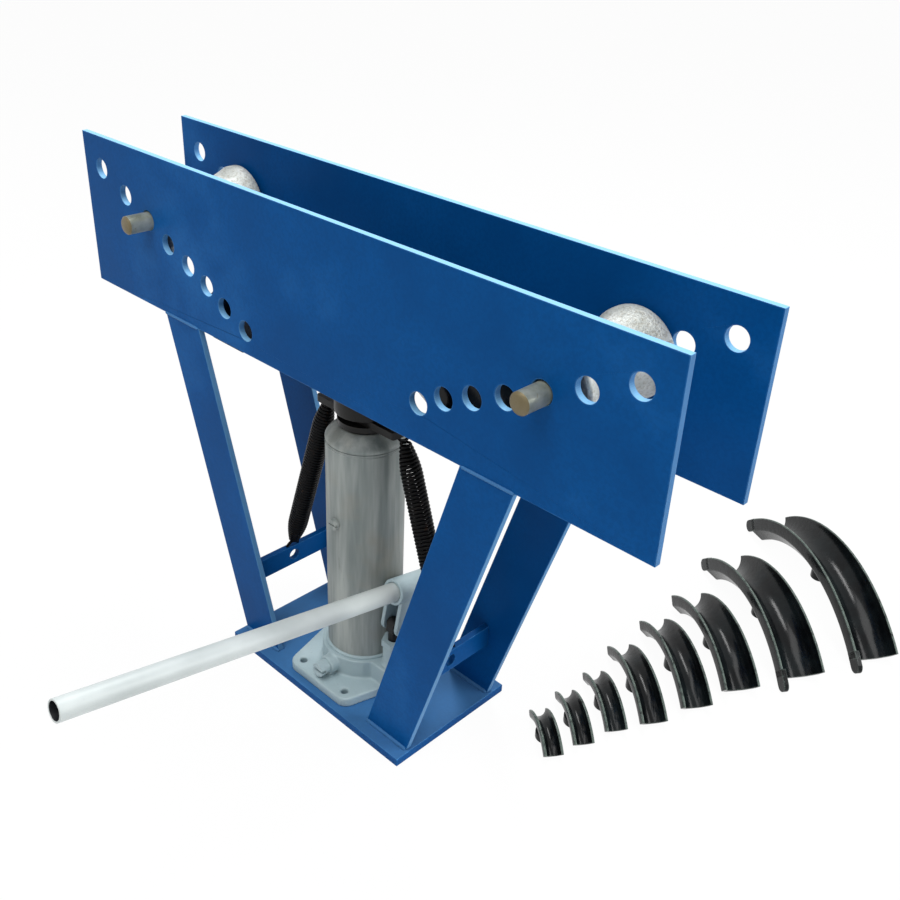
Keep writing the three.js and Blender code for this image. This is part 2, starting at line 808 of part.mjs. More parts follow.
function handleSocket() {
  const outer = socketDiameter / 2;
  const lugNear = lugGap / 2;
  const lugFar = lugNear + lugThickness;
  const reach = lugFar + overrun;
  const [pinY, pinZ] = plungerPinPlace();
  const slack = (leverArm * (1 - Math.cos(leverRestAngle))) / 2 + runGap; // the pin wanders along the arm
  const barrel = alongY(outer, -socketMouth, socketBack, plainSteps).translate(0, 0, socketRise);
  const boreEnd = -socketMouth + handleGrip + seatGap;
  const bore = alongY(handleDiameter / 2 + runGap, -socketMouth - overrun, boreEnd, plainSteps)
    .translate(0, 0, socketRise);
  const fulcrumHole = alongX(fulcrumPinDiameter / 2 + runGap, -reach, reach);
  const plungerHole = alongX(plungerPinDiameter / 2 + slack, -reach, reach).translate(0, pinY, pinZ);
  const body = join(barrel, leverLug(-lugFar, -lugNear), leverLug(lugNear, lugFar));
  return cut(body, bore, fulcrumHole, plungerHole);
}

function handleTube() {
  const outer = handleDiameter / 2;
  const inEnd = -socketMouth + handleGrip;
  const tube = sleeve(outer - handleWall, outer, 0, handleLength, plainSteps);
  return tube.rotateX(Math.PI / 2).translate(0, inEnd, socketRise);
}

function buildLever() {
  const lever = new THREE.Group();
  lever.position.set(pumpReach, fulcrumY, fulcrumZ);
  lever.rotation.x = -handlePitch;
  place("handle_socket", handleSocket(), paleGreyPaint, lever);
  place("handle_tube", handleTube(), paleGreyPaint, lever);
  return lever;
}

// Dies: an arc of channel section with a socket boss inside its crown. The arc's centre is the origin.
function dieSection(inner, wall, groove, lip) {
  const outer = inner + wall + groove;
  const half = groove + lip;
  const band = dieBandShare * (groove + wall);
  const back = dieBackShare * half;
  const profile = [[inner, -back], [outer - band, -half], [outer, -half]];
  for (let i = 0; i <= grooveSteps; i++) {
    const angle = (Math.PI * i) / grooveSteps;
    profile.push([outer - groove * Math.sin(angle), -groove * Math.cos(angle)]);
  }
  profile.push([outer, half], [outer - band, half], [inner, back], [inner, -back]);
  return profile;
}

function dieEar(outer, band, half, spread, side) {
  const radius = band / 2;
  const thickness = Math.min(earThickness, half);
  const middle = outer - radius;
  const shape = new THREE.Shape();
  shape.moveTo(-radius, -radius);
  shape.lineTo(earLength, -radius);
  shape.absarc(earLength, 0, radius, -Math.PI / 2, Math.PI / 2, false);
  shape.lineTo(-radius, radius);
  return new THREE.ExtrudeGeometry(shape, { depth: thickness, bevelEnabled: false, curveSegments: cornerSteps })
    .rotateX(Math.PI / 2)
    .translate(0, thickness - half, middle)
    .rotateY(spread)
    .scale(side, 1, 1);
}

function mirroredTriangles(geometry) {
  const order = geometry.index.array;
  for (let i = 0; i < order.length; i += 3) {
    [order[i + 1], order[i + 2]] = [order[i + 2], order[i + 1]];
  }
  return geometry;
}

function die({ inner, wall, groove, lip, spread, arcSteps, bossRadius, bossReach, ears }) {
  const outer = inner + wall + groove;
  const half = groove + lip;
  const steps = Math.round((arcSteps * Math.PI) / spread);
  const ring = turned(dieSection(inner, wall, groove, lip), steps).rotateX(Math.PI / 2);
  const far = 2 * outer;
  const wedge = platedXZ(
    outlined([
      [0, 0],
      [far * Math.sin(spread), far * Math.cos(spread)],
      [0, 2 * far],
      [-far * Math.sin(spread), far * Math.cos(spread)],
    ]),
    -half - overrun,
    half + overrun,
  );
  const arc = overlapOf(ring, wedge);
  const bossLow = inner - bossReach;
  const boss = upright(bossRadius, bossLow, inner + wall / 2);
  const bore = upright(socketBoreDiameter / 2, bossLow - overrun, bossLow + socketBoreDepth, smallSteps);
  const band = dieBandShare * (groove + wall);
  const parts = [arc, boss];
  if (ears) {
    const ear = mergeVertices(dieEar(outer, band, half, spread, 1));
    const otherEar = mirroredTriangles(mergeVertices(dieEar(outer, band, half, spread, -1)));
    parts.push(ear, otherEar);
  }
  return cut(join(...parts), bore);
}

function looseDie(i) {
  const groove = dieWidths[i] / 2 - dieLip;
  const outer = dieChords[i] / 2 / Math.sin(dieSpread);
  const inner = outer - groove - dieWall;
  const shape = die({
    inner,
    wall: dieWall,
    groove,
    lip: dieLip,
    spread: dieSpread,
    arcSteps: dieArcSteps[i],
    bossRadius: bossDiameter / 2,
    bossReach: Math.min(bossLength, bossRoomShare * inner * (1 - Math.cos(dieSpread))),
    ears: i >= dieChords.length - earedDies,
  });
  shape.computeBoundingBox();
  return { shape, drop: shape.boundingBox.min.z };
}

function buildDies() {
  const dies = new THREE.Group();
  let along = 0;
  dieChords.forEach((chord, i) => {
    const { shape, drop } = looseDie(i);
    const x = rowStartX + rowDriftShare * along;
    const mesh = place("loose_die_" + dieNames[i], shape, blackEnamel, dies, x, rowStartY + along, -drop);
    mesh.rotation.z = dieYaw;
    along += rowPitches[i] ?? 0;
  });
  const big = die({
    inner: bigDieInnerRadius,
    wall: bigDieWall,
    groove: bigDieGroove,
    lip: bigDieLip,
    spread: bigDieSpread,
    arcSteps: bigDieSteps,
    bossRadius: bigDieBossDiameter / 2,
    bossReach: bigDieBossLength,
    ears: false,
  });
  const centre = headTop + bigDieBossLength - bigDieInnerRadius;
  place("mounted_die", big, blackEnamel, dies, 0, 0, centre);
  return dies;
}

root.add(buildFrame());
root.add(buildRollers());
root.add(buildJack());
root.add(buildRam());
root.add(buildSprings());
root.add(buildPump());
root.add(buildLever());
root.add(buildDies());

export default root;
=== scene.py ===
import math
import random

import bmesh
import bpy
from mathutils import Matrix, Vector


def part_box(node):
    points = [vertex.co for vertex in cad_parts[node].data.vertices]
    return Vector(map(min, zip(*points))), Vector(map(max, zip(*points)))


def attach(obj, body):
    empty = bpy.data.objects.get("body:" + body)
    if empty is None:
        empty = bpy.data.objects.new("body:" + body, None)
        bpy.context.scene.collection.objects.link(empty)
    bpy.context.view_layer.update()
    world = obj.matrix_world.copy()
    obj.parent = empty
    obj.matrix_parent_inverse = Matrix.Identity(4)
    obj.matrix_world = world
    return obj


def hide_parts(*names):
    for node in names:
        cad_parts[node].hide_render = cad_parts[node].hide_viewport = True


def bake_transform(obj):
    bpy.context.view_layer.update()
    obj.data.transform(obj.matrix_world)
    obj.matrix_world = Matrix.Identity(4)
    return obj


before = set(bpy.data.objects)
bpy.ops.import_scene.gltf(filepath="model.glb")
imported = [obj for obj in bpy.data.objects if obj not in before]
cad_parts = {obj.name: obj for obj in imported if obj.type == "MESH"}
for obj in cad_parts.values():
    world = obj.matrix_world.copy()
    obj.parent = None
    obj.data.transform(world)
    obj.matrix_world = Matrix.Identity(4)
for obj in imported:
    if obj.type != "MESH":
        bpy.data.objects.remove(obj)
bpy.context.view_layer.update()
ops = bmesh.ops
mm = 0.001
turn = 2 * math.pi
print("frame loaded:", len(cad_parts), "nodes")


def addObject(name, data):
    made = bpy.data.objects.new(name, data)
    bpy.context.scene.collection.objects.link(made)
    return made


def meshFrom(name, bm):
    mesh = bpy.data.meshes.new(name)
    bm.to_mesh(mesh)
    bm.free()
    return mesh


# Camera at the photograph's viewpoint
cameraSetup = {
    "place": (0.719, -0.646, 0.847),
    "azimuth": 42.74,
    "elevation": 29.56,
    "roll": 2.75,
    "lens": 41.7,
    "sensor": 36,
    "clip": (0.01, 100),
}


def makeCamera(setup):
    data = bpy.data.cameras.new("photoCamera")
    data.lens = setup["lens"]
    data.sensor_width = setup["sensor"]
    data.clip_start, data.clip_end = setup["clip"]
    camera = addObject("photoCamera", data)
    turned = (
        Matrix.Rotation(math.radians(setup["azimuth"]), 4, "Z")
        @ Matrix.Rotation(math.radians(90 - setup["elevation"]), 4, "X")
        @ Matrix.Rotation(math.radians(setup["roll"]), 4, "Z")
    )
    camera.matrix_world = Matrix.Translation(setup["place"]) @ turned
    bpy.context.scene.camera = camera


makeCamera(cameraSetup)


# Colours are written as the screen shows them
def colour(code):
    parts = [int(code[i : i + 2], 16) / 255 for i in (1, 3, 5)]
    return (*(p / 12.92 if p <= 0.04045 else ((p + 0.055) / 1.055) ** 2.4 for p in parts), 1)


# Short ways to put nodes in a tree
def addNode(tree, kind, values=None, **settings):
    node = tree.nodes.new(kind)
    for name, value in settings.items():
        setattr(node, name, value)
    for name, value in (values or {}).items():
        node.inputs[name].default_value = value
    return node


# Puts a number, a colour or another node's output into a socket
def feed(tree, value, socket):
    if isinstance(value, str):
        value = colour(value)
    if isinstance(value, (int, float, tuple)):
        socket.default_value = value
    else:
        tree.links.new(value, socket)


def newGroup(name, inputs, outputs):
    group = bpy.data.node_groups.new(name, "ShaderNodeTree")
    for label, value in inputs.items():
        socket = group.interface.new_socket(label, in_out="INPUT", socket_type="NodeSocketFloat")
        socket.default_value = value
    for label in outputs:
        group.interface.new_socket(label, in_out="OUTPUT", socket_type="NodeSocketFloat")
    return group, group.nodes.new("NodeGroupInput"), group.nodes.new("NodeGroupOutput")


def maths(tree, operation, first, second, clamp=False):
    node = addNode(tree, "ShaderNodeMath", operation=operation, use_clamp=clamp)
    feed(tree, first, node.inputs[0])
    feed(tree, second, node.inputs[1])
    return node.outputs[0]


def times(tree, first, second, clamp=False):
    return maths(tree, "MULTIPLY", first, second, clamp)


# A mask that rises from nothing at low to its most at high
def band(tree, value, low, high, most=None):
    node = addNode(tree, "ShaderNodeMapRange", {"From Min": low, "From Max": high}, clamp=True)
    feed(tree, value, node.inputs["Value"])
    return times(tree, node.outputs[0], most) if most else node.outputs[0]


def blendColour(tree, factor, first, second):
    node = addNode(tree, "ShaderNodeMix", data_type="RGBA", clamp_factor=True)
    feed(tree, factor, node.inputs["Factor"])
    feed(tree, first, node.inputs[6])
    feed(tree, second, node.inputs[7])
    return node.outputs[2]


# Broad patches, fine grain and rubbed spots, all on object coordinates
grainSetup = {
    "inputs": {"Patch Scale": 9, "Grain Scale": 400, "Rub Scale": 45, "Rub Amount": 0.3, "Stretch": 1},
    "Patch": {"Detail": 3.0, "Roughness": 0.55},
    "Grain": {"Detail": 4.0, "Roughness": 0.6},
    "Rub": {"Detail": 6.0, "Roughness": 0.7, "Distortion": 0.6},
    "rubStart": 0.78,
    "rubReach": 0.3,
    "rubContrast": 14.0,
}


def makeGrainGroup(setup):
    group, start, end = newGroup("surfaceGrain", setup["inputs"], ("Patch", "Grain", "Rub"))
    squeeze = addNode(group, "ShaderNodeCombineXYZ", {"X": 1.0, "Y": 1.0})
    feed(group, start.outputs["Stretch"], squeeze.inputs["Z"])
    scaled = addNode(group, "ShaderNodeVectorMath", operation="MULTIPLY")
    feed(group, addNode(group, "ShaderNodeTexCoord").outputs["Object"], scaled.inputs[0])
    feed(group, squeeze.outputs[0], scaled.inputs[1])
    masks = {}
    for name in ("Patch", "Grain", "Rub"):
        noise = addNode(group, "ShaderNodeTexNoise", setup[name])
        feed(group, scaled.outputs[0], noise.inputs["Vector"])
        feed(group, start.outputs[name + " Scale"], noise.inputs["Scale"])
        masks[name] = noise.outputs["Fac"]
    reach = times(group, start.outputs["Rub Amount"], setup["rubReach"])
    over = maths(group, "SUBTRACT", masks["Rub"], maths(group, "SUBTRACT", setup["rubStart"], reach))
    masks["Rub"] = times(group, over, setup["rubContrast"], clamp=True)
    for name, mask in masks.items():
        feed(group, mask, end.inputs[name])
    return group


# Where an edge is rounded off, broken up by noise
edgeSetup = {
    "inputs": {"Width": 0.002, "Break Up": 60, "Strength": 1},
    "samples": 4,
    "turned": (0.995, 0.86),
    "noise": {"Detail": 5.0, "Roughness": 0.65},
    "broken": (0.36, 0.62),
}


def makeEdgeGroup(setup):
    group, start, end = newGroup("edgeWearAndSheen", setup["inputs"], ("Edge",))
    soft = addNode(group, "ShaderNodeBevel", samples=setup["samples"])
    feed(group, start.outputs["Width"], soft.inputs["Radius"])
    match = addNode(group, "ShaderNodeVectorMath", operation="DOT_PRODUCT")
    feed(group, soft.outputs[0], match.inputs[0])
    feed(group, addNode(group, "ShaderNodeNewGeometry").outputs["Normal"], match.inputs[1])
    edge = band(group, match.outputs["Value"], *setup["turned"])
    noise = addNode(group, "ShaderNodeTexNoise", setup["noise"])
    feed(group, addNode(group, "ShaderNodeTexCoord").outputs["Object"], noise.inputs["Vector"])
    feed(group, start.outputs["Break Up"], noise.inputs["Scale"])
    broken = times(group, edge, band(group, noise.outputs["Fac"], *setup["broken"]))
    feed(group, times(group, broken, start.outputs["Strength"], clamp=True), end.inputs["Edge"])
    return group


sharedGroups = {"grain": makeGrainGroup(grainSetup), "edge": makeEdgeGroup(edgeSetup)}


# A group's outputs by name, with its inputs set in their order
def useGroup(tree, kind, values):
    node = addNode(tree, "ShaderNodeGroup", node_tree=sharedGroups[kind])
    for socket, value in zip(node.inputs, values):
        socket.default_value = value
    return dict(node.outputs.items())


# Shader sockets that a finish may set, with their usual values
evenSockets = {
    "roughness": ("Roughness", 0.5),
    "metallic": ("Metallic", 0.0),
    "specular": ("Specular IOR Level", 0.5),
    "coat": ("Coat Weight", 0.0),
    "coatRoughness": ("Coat Roughness", 0.1),
}


def startMaterial(name, finish):
    material = bpy.data.materials.new(name)
    material.use_nodes = True
    tree = material.node_tree
    shader = tree.nodes["Principled BSDF"]
    for key, (socket, usual) in evenSockets.items():
        shader.inputs[socket].default_value = finish.get(key, usual)
    masks = {}
    for kind in sharedGroups:
        if kind in finish:
            masks.update(useGroup(tree, kind, finish[kind]))
    return material, tree, shader, masks


# Lays patches on the under colour, then coats, each a mask with its colour's name in the finish.
# Then come the uneven roughness and the bump
def paint(tree, shader, finish, masks, height, *coats):
    shown = finish["colour"]
    if "patch" in finish:
        shown = blendColour(tree, band(tree, masks["Patch"], *finish["patch"]), finish["under"], shown)
    for mask, name in coats:
        shown = blendColour(tree, mask, shown, finish[name])
    feed(tree, shown, shader.inputs["Base Color"])
    rough = finish["roughness"] - finish.get("smoother", 0)
    for name, amount in finish["rougher"].items():
        rough = maths(tree, "ADD", times(tree, masks[name], amount), rough)
    feed(tree, rough, shader.inputs["Roughness"])
    distance, strength = finish["bump"]
    bump = addNode(tree, "ShaderNodeBump", {"Distance": distance, "Strength": strength})
    feed(tree, height, bump.inputs["Height"])
    feed(tree, bump.outputs[0], shader.inputs["Normal"])


# A value that was marked on the faces
def marked(tree, layerName):
    return addNode(tree, "ShaderNodeAttribute", attribute_name=layerName).outputs["Fac"]


# In every finish, grain gives three scales, the rubbed amount and any stretch, edge gives width,
# break-up and strength, a mask its low, high and most, and bump its distance and strength


# Blue enamel: uneven spray, dull scuffs, pale rubbed edges that also stand for painted edge highlights, soft
# pale patches of painted reflection, and a paler painted highlight on the faces marked for it
blueFinish = {
    "colour": "#064f8f",
    "under": "#044078",
    # pale: rubbed edges and scuffs, also used for painted edge highlights and painted reflection
    "pale": "#4f90cc",
    # thin: the painted highlight colour on narrow faces, upward faces and weld beads
    "thin": "#8cc4ea",
    "roughness": 0.36,
    "specular": 0.035,
    "grain": (7, 260, 38, 0.2),
    "edge": (0.0016, 45, 0.75),
    "patch": (0.3, 0.7),
    "mottle": (0.42, 0.6, 0.45),
    # soft pale patches of painted reflection
    "paintedReflection": (0.56, 0.72, 0.09),
    "speck": 0.2,
    "smoother": 0.05,
    "rougher": {"Rub": 0.2, "Patch": 0.12},
    "bump": (0.00025, 0.35),
}


def makeBlueEnamel(name, finish):
    material, tree, shader, masks = startMaterial(name, finish)
    paint(
        tree, shader, finish, masks, masks["Grain"],
        (band(tree, masks["Grain"], *finish["mottle"]), "under"),
        # painted reflection: soft pale patches
        (band(tree, masks["Patch"], *finish["paintedReflection"]), "pale"),
        (times(tree, masks["Rub"], finish["speck"]), "pale"),
        # pale rubbed edges, which also stand for painted edge highlights
        (masks["Edge"], "pale"),
        # painted highlight on the marked faces
        (marked(tree, "paintedSheen"), "thin"),
    )
    return material


# Brushed grey paint on the tank: upright streaks, thin patches and runs
tankFinish = {
    "colour": "#949a97",
    "under": "#6b7473",
    "warm": "#857d6e",
    "dark": "#4f5450",
    "roughness": 0.5,
    "grain": (70, 420, 60, 0.5, 0.09),
    "fine": (14, 700, 90, 0.35),
    "patch": (0.38, 0.66),
    "warmth": (0.5, 0.7, 0.5),
    "dirt": 0.35,
    "fineHeight": 0.6,
    "smoother": 0.12,
    "rougher": {"Patch": 0.25},
    "bump": (0.0004, 0.5),
}


def makeTankPaint(name, finish):
    material, tree, shader, masks = startMaterial(name, finish)
    fine = useGroup(tree, "grain", finish["fine"])
    paint(
        tree, shader, finish, masks,
        maths(tree, "ADD", masks["Grain"], times(tree, fine["Grain"], finish["fineHeight"])),
        (band(tree, fine["Patch"], *finish["warmth"]), "warm"),
        (times(tree, masks["Rub"], finish["dirt"]), "dark"),
    )
    return material


# Pale sprayed paint, bluer on the castings than on the handle, with near-black painted shade on the handle's
# inner wall
castFinish = {
    "colour": "#a5b8bd",
    "under": "#8fa3a9",
    "rub": "#77797a",
    # bore: near-black painted shade inside the handle
    "bore": "#14171b",
    "roughness": 0.42,
    "grain": (16, 330, 70, 0.45),
    "edge": (0.0012, 120, 0.5),
    "patch": (0.3, 0.7),
    "spots": 0.5,
    "smoother": 0.08,
    "rougher": {"Patch": 0.2},
    "bump": (0.0009, 0.5),
}
tubeFinish = {
    **castFinish,
    "colour": "#c6cdcc",
    "under": "#b3bbba",
    "rub": "#8b8c83",
    "grain": (16, 330, 70, 0.25),
    "bump": (0.0002, 0.5),
}


def makePalePaint(name, finish):
    material, tree, shader, masks = startMaterial(name, finish)
    paint(
        tree, shader, finish, masks, masks["Grain"],
        (times(tree, masks["Rub"], finish["spots"]), "rub"),
        (masks["Edge"], "rub"),
        # painted shade on the marked inner wall
        (marked(tree, "bore"), "bore"),
    )
    return material


# Bare turned steel, grey-green along the bar, sawn ends yellow-brown with rust
steelFinish = {
    "colour": "#b9bcae",
    "under": "#8b8f7c",
    "rust": "#6d5330",
    "sawn": "#64573a",
    "roughness": 0.38,
    "metallic": 0.55,
    "grain": (60, 900, 130, 0.55),
    "patch": (0.35, 0.65),
    "sawnAmount": 0.9,
    "rustAmount": 0.6,
    "rustDulls": 0.4,
    "rougher": {"Rub": 0.35},
    "bump": (0.0004, 0.6),
}


def makeBareSteel(name, finish):
    material, tree, shader, masks = startMaterial(name, finish)
    paint(
        tree, shader, finish, masks, masks["Grain"],
        (times(tree, marked(tree, "sawn"), finish["sawnAmount"]), "sawn"),
        (times(tree, masks["Rub"], finish["rustAmount"]), "rust"),
    )
    dulled = times(tree, masks["Rub"], finish["rustDulls"])
    feed(tree, maths(tree, "SUBTRACT", finish["metallic"], dulled), shader.inputs["Metallic"])
    return material


# Silver paint over rough cast iron, yellow-grey in the pits
rollerFinish = {
    "colour": "#d3d6d2",
    "under": "#a9ada8",
    "pit": "#776c54",
    "roughness": 0.42,
    "metallic": 0.25,
    "grain": (40, 320, 55, 0.4),
    "patch": (0.35, 0.65),
    "rubPits": 0.5,
    "grainPits": (0.5, 0.62),
    "pitAmount": 0.42,
    "smoother": 0.1,
    "rougher": {"Grain": 0.3},
    "bump": (0.002, 0.8),
}


def makeRollerPaint(name, finish):
    material, tree, shader, masks = startMaterial(name, finish)
    grainPits = band(tree, masks["Grain"], *finish["grainPits"])
    pits = maths(tree, "MAXIMUM", times(tree, masks["Rub"], finish["rubPits"]), grainPits)
    height = maths(tree, "SUBTRACT", 1.0, masks["Grain"])
    paint(tree, shader, finish, masks, height, (times(tree, pits, finish["pitAmount"]), "pit"))
    return material


# Thick black gloss on cast dies, thinner in patches and paler on the rims
dieFinish = {
    "colour": "#12181a",
    "under": "#06080a",
    "rim": "#64716a",
    "roughness": 0.22,
    "specular": 0.08,
    "coat": 0.2,
    "coatRoughness": 0.16,
    "grain": (30, 150, 80, 0.4),
    "edge": (0.0022, 90, 0.8),
    "patch": (0.4, 0.7),
    "lipWear": (0.28, 0.52, 0.75),
    "grainHeight": 0.4,
    "rougher": {"Rub": 0.3, "Edge": 0.2},
    "bump": (0.0016, 0.5),
}


def makeDieEnamel(name, finish):
    material, tree, shader, masks = startMaterial(name, finish)
    lipWear = times(tree, marked(tree, "lip"), band(tree, masks["Grain"], *finish["lipWear"]))
    worn = maths(tree, "MAXIMUM", masks["Edge"], lipWear)
    height = maths(tree, "ADD", masks["Patch"], times(tree, masks["Grain"], finish["grainHeight"]))
    paint(tree, shader, finish, masks, height, (worn, "rim"))
    return material


# Oiled dark steel for bar, saddle and small pins, and the springs and seals after it
darkFinish = {
    "colour": "#161616",
    "worn": "#4a463e",
    "roughness": 0.4,
    "metallic": 0.6,
    "grain": (50, 500, 110, 0.35),
    "edge": (0.0012, 140, 0.6),
    "rubWear": 0.6,
    "smoother": 0.1,
    "rougher": {"Patch": 0.25},
    "bump": (0.0003, 0.5),
}
springFinish = {
    **darkFinish,
    "colour": "#07080a",
    "worn": "#3a2413",
    "roughness": 0.26,
    "metallic": 0.0,
    "specular": 0.08,
    "grain": (50, 500, 110, 0.6),
}
rubberFinish = {
    **darkFinish,
    "colour": "#171717",
    "worn": "#2a2a2a",
    "roughness": 0.75,
    "metallic": 0.0,
    "grain": (50, 500, 110, 0.2),
}


def makeDarkSteel(name, finish):
    material, tree, shader, masks = startMaterial(name, finish)
    worn = maths(tree, "MAXIMUM", times(tree, masks["Rub"], finish["rubWear"]), masks["Edge"])
    paint(tree, shader, finish, masks, masks["Grain"], (worn, "worn"))
    return material


blueEnamel = makeBlueEnamel("blueEnamel", blueFinish)
tankPaint = makeTankPaint("tankPaint", tankFinish)
castPaint = makePalePaint("castPaint", castFinish)
tubePaint = makePalePaint("tubePaint", tubeFinish)
bareSteel = makeBareSteel("bareSteel", steelFinish)
rollerPaint = makeRollerPaint("rollerPaint", rollerFinish)
dieEnamel = makeDieEnamel("dieEnamel", dieFinish)
darkSteel = makeDarkSteel("darkSteel", darkFinish)
springWire = makeDarkSteel("springWire", springFinish)
sealRubber = makeDarkSteel("sealRubber", rubberFinish)
print("materials made")


# Shapes
def roundCorners(points, radius, steps=3, closed=True, most=0.45):
    done = []
    count = len(points)
    for i, point in enumerate(points):
        if not closed and i in (0, count - 1):
            done.append(point)
            continue
        here = Vector(point)
        before = Vector(points[i - 1]) - here
        after = Vector(points[(i + 1) % count]) - here
        reach = min(radius, before.length * most, after.length * most)
        first = here + before.normalized() * reach
        last = here + after.normalized() * reach
        for k in range(steps + 1):
            t = k / steps
            done.append(tuple(first * (1 - t) ** 2 + here * 2 * t * (1 - t) + last * t**2))
    return done


def turnedShape(profile, steps=64, closed=False):
    bm = bmesh.new()
    verts = [bm.verts.new((radius, 0, height)) for radius, height in profile]
    pairs = list(zip(verts, verts[1:]))
    if closed:
        pairs.append((verts[-1], verts[0]))
    edges = [bm.edges.new(pair) for pair in pairs]
    ops.spin(
        bm, geom=verts + edges, cent=(0, 0, 0), axis=(0, 0, 1), angle=turn, steps=steps, use_merge=True
    )
    ops.remove_doubles(bm, verts=bm.verts, dist=1e-6)
    ops.dissolve_degenerate(bm, edges=bm.edges, dist=1e-7)
    ops.recalc_face_normals(bm, faces=bm.faces)
    return bm


# A turned shape whose profile has rounded corners
def softTurned(profile, corner, steps, closed=False, parts=3):
    return turnedShape(roundCorners(profile, corner, parts, closed), steps, closed)


# Spins a shape about an axis through the origin, rising along Z as it goes
def spinWhole(bm, axis, angle, steps, rise=0):
    ops.spin(
        bm, geom=bm.faces[:] + bm.edges[:] + bm.verts[:], cent=(0, 0, 0), axis=axis,
        dvec=(0, 0, rise), angle=angle, steps=steps, use_merge=False,
    )


pushAxes = {
    "X": Matrix(((0, 0, 1, 0), (1, 0, 0, 0), (0, 1, 0, 0), (0, 0, 0, 1))),
    "Y": Matrix(((1, 0, 0, 0), (0, 0, 1, 0), (0, 1, 0, 0), (0, 0, 0, 1))),
    "Z": Matrix.Identity(4),
}


# A flat outline with holes, pushed along an axis
def outlineShape(points, low, high, axis="Z", holes=()):
    bm = bmesh.new()
    loops = []
    for ring in (points, *holes):
        verts = [bm.verts.new((a, b, 0)) for a, b in ring]
        loops += [bm.edges.new(pair) for pair in zip(verts, verts[1:] + verts[:1])]
    filled = ops.triangle_fill(bm, use_beauty=True, use_dissolve=False, edges=loops)
    faces = [f for f in filled["geom"] if isinstance(f, bmesh.types.BMFace)]
    pushed = ops.extrude_face_region(bm, geom=faces)
    moved = [v for v in pushed["geom"] if isinstance(v, bmesh.types.BMVert)]
    ops.translate(bm, verts=moved, vec=(0, 0, high - low))
    ops.translate(bm, verts=bm.verts, vec=(0, 0, low))
    ops.transform(bm, verts=bm.verts, matrix=pushAxes[axis])
    ops.recalc_face_normals(bm, faces=bm.faces)
    return bm


def arcPoints(x, y, radius, start, sweep, steps):
    angles = [start + sweep * i / steps for i in range(steps + 1)]
    return [(x + radius * math.cos(a), y + radius * math.sin(a)) for a in angles]


def circlePoints(x, y, radius, steps=40):
    return arcPoints(x, y, radius, 0, turn, steps)[:-1]


def place(bm, matrix):
    ops.transform(bm, verts=bm.verts, matrix=matrix)
    return bm


def joined(*shapes):
    whole = bmesh.new()
    for shape in shapes:
        carrier = meshFrom("carrier", shape)
        whole.from_mesh(carrier)
        bpy.data.meshes.remove(carrier)
    return whole


def along(point, direction):
    return Matrix.Translation(point) @ Vector(direction).to_track_quat("Z", "Y").to_matrix().to_4x4()


# Sharp and limit are the angles from which an edge is shaded hard and rounded off
def addPiece(name, bm, material, body, nodes=(), rounding=0.0, sharp=38, limit=32, smooth=True):
    mesh = meshFrom(name, bm)
    mesh.materials.append(material)
    if smooth:
        mesh.polygons.foreach_set("use_smooth", [True] * len(mesh.polygons))
    mesh.set_sharp_from_angle(angle=math.radians(sharp))
    piece = addObject(name, mesh)
    if rounding:
        bevel = piece.modifiers.new("rounding", "BEVEL")
        bevel.width = rounding
        bevel.segments = 2
        bevel.limit_method = "ANGLE"
        bevel.angle_limit = math.radians(limit)
        bevel.harden_normals = smooth
    if body:
        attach(piece, body)
    if nodes:
        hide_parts(*nodes)
    return piece


# A merged copy of a frame node's mesh, with its flat faces made whole
def nodeCopy(node):
    bm = bmesh.new()
    bm.from_mesh(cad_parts[node].data)
    ops.remove_doubles(bm, verts=bm.verts, dist=2e-6)
    ops.dissolve_limit(bm, angle_limit=math.radians(1), verts=bm.verts, edges=bm.edges)
    return bm


# Makes one smooth casting of a piece
def castTogether(piece, voxel, smoothing):
    remesh = piece.modifiers.new("cast", "REMESH")
    remesh.mode = "VOXEL"
    remesh.voxel_size = voxel
    remesh.use_smooth_shade = True
    soften = piece.modifiers.new("soften", "SMOOTH")
    soften.factor = 0.5
    soften.iterations = smoothing
    shown = piece.evaluated_get(bpy.context.evaluated_depsgraph_get())
    mesh = bpy.data.meshes.new_from_object(shown)
    piece.modifiers.clear()
    piece.data = mesh


# Marks faces for their material
def markFaces(bm, layerName, level):
    layer = bm.faces.layers.float.new(layerName)
    bm.normal_update()
    for face in bm.faces:
        face[layer] = level(face)
    return bm


def fromAxis(face, axis):
    middle = face.calc_center_median()
    middle[axis] = 0
    return middle.length


# Blue frame. A face looks along an axis where its normal passes the facing share
facing = 0.5
frameSizes = {
    "edge": 0.9 * mm,
    "plateEdgeShare": 0.7,
    # painted highlight shares: plate narrow faces, more on upward ones, leg narrow faces and the base's top
    "thinPaint": 0.2,
    "paintedSheenAbove": 0.65,
    "legPaintedSheen": 0.3,
    "basePaintedSheen": 0.16,
    "holeRadius": 11 * mm,
    "holeReachShares": (0.915, 0.8, 0.695, 0.605, 0.516, 0.435, 0.36, 0.2725),
    "holeDropShares": (0.206, 0.32, 0.423, 0.526, 0.606, 0.68, 0.771, 0.851),
    "rightHoles": 7,
}


def sidePlateShape(node, sizes):
    low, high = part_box(node)
    outline = [(low.x, low.z), (high.x, low.z), (high.x, high.z), (low.x, high.z)]
    half = (high.x - low.x) / 2
    holes = []
    for i, (reach, drop) in enumerate(zip(sizes["holeReachShares"], sizes["holeDropShares"])):
        z = high.z - drop * (high.z - low.z)
        for side in (-1, 1):
            if side < 0 or i < sizes["rightHoles"]:
                holes.append(circlePoints(side * reach * half, z, sizes["holeRadius"]))
    bm = outlineShape(outline, low.y, high.y, "Y", holes)
    for face in bm.faces:
        face.smooth = len(face.verts) == 4
    # Narrow faces get a painted highlight share, larger the more they face up
    thin, above = sizes["thinPaint"], sizes["paintedSheenAbove"]
    return markFaces(
        bm, "paintedSheen", lambda face: (abs(face.normal.y) < facing) * (thin + above * max(0, face.normal.z))
    )


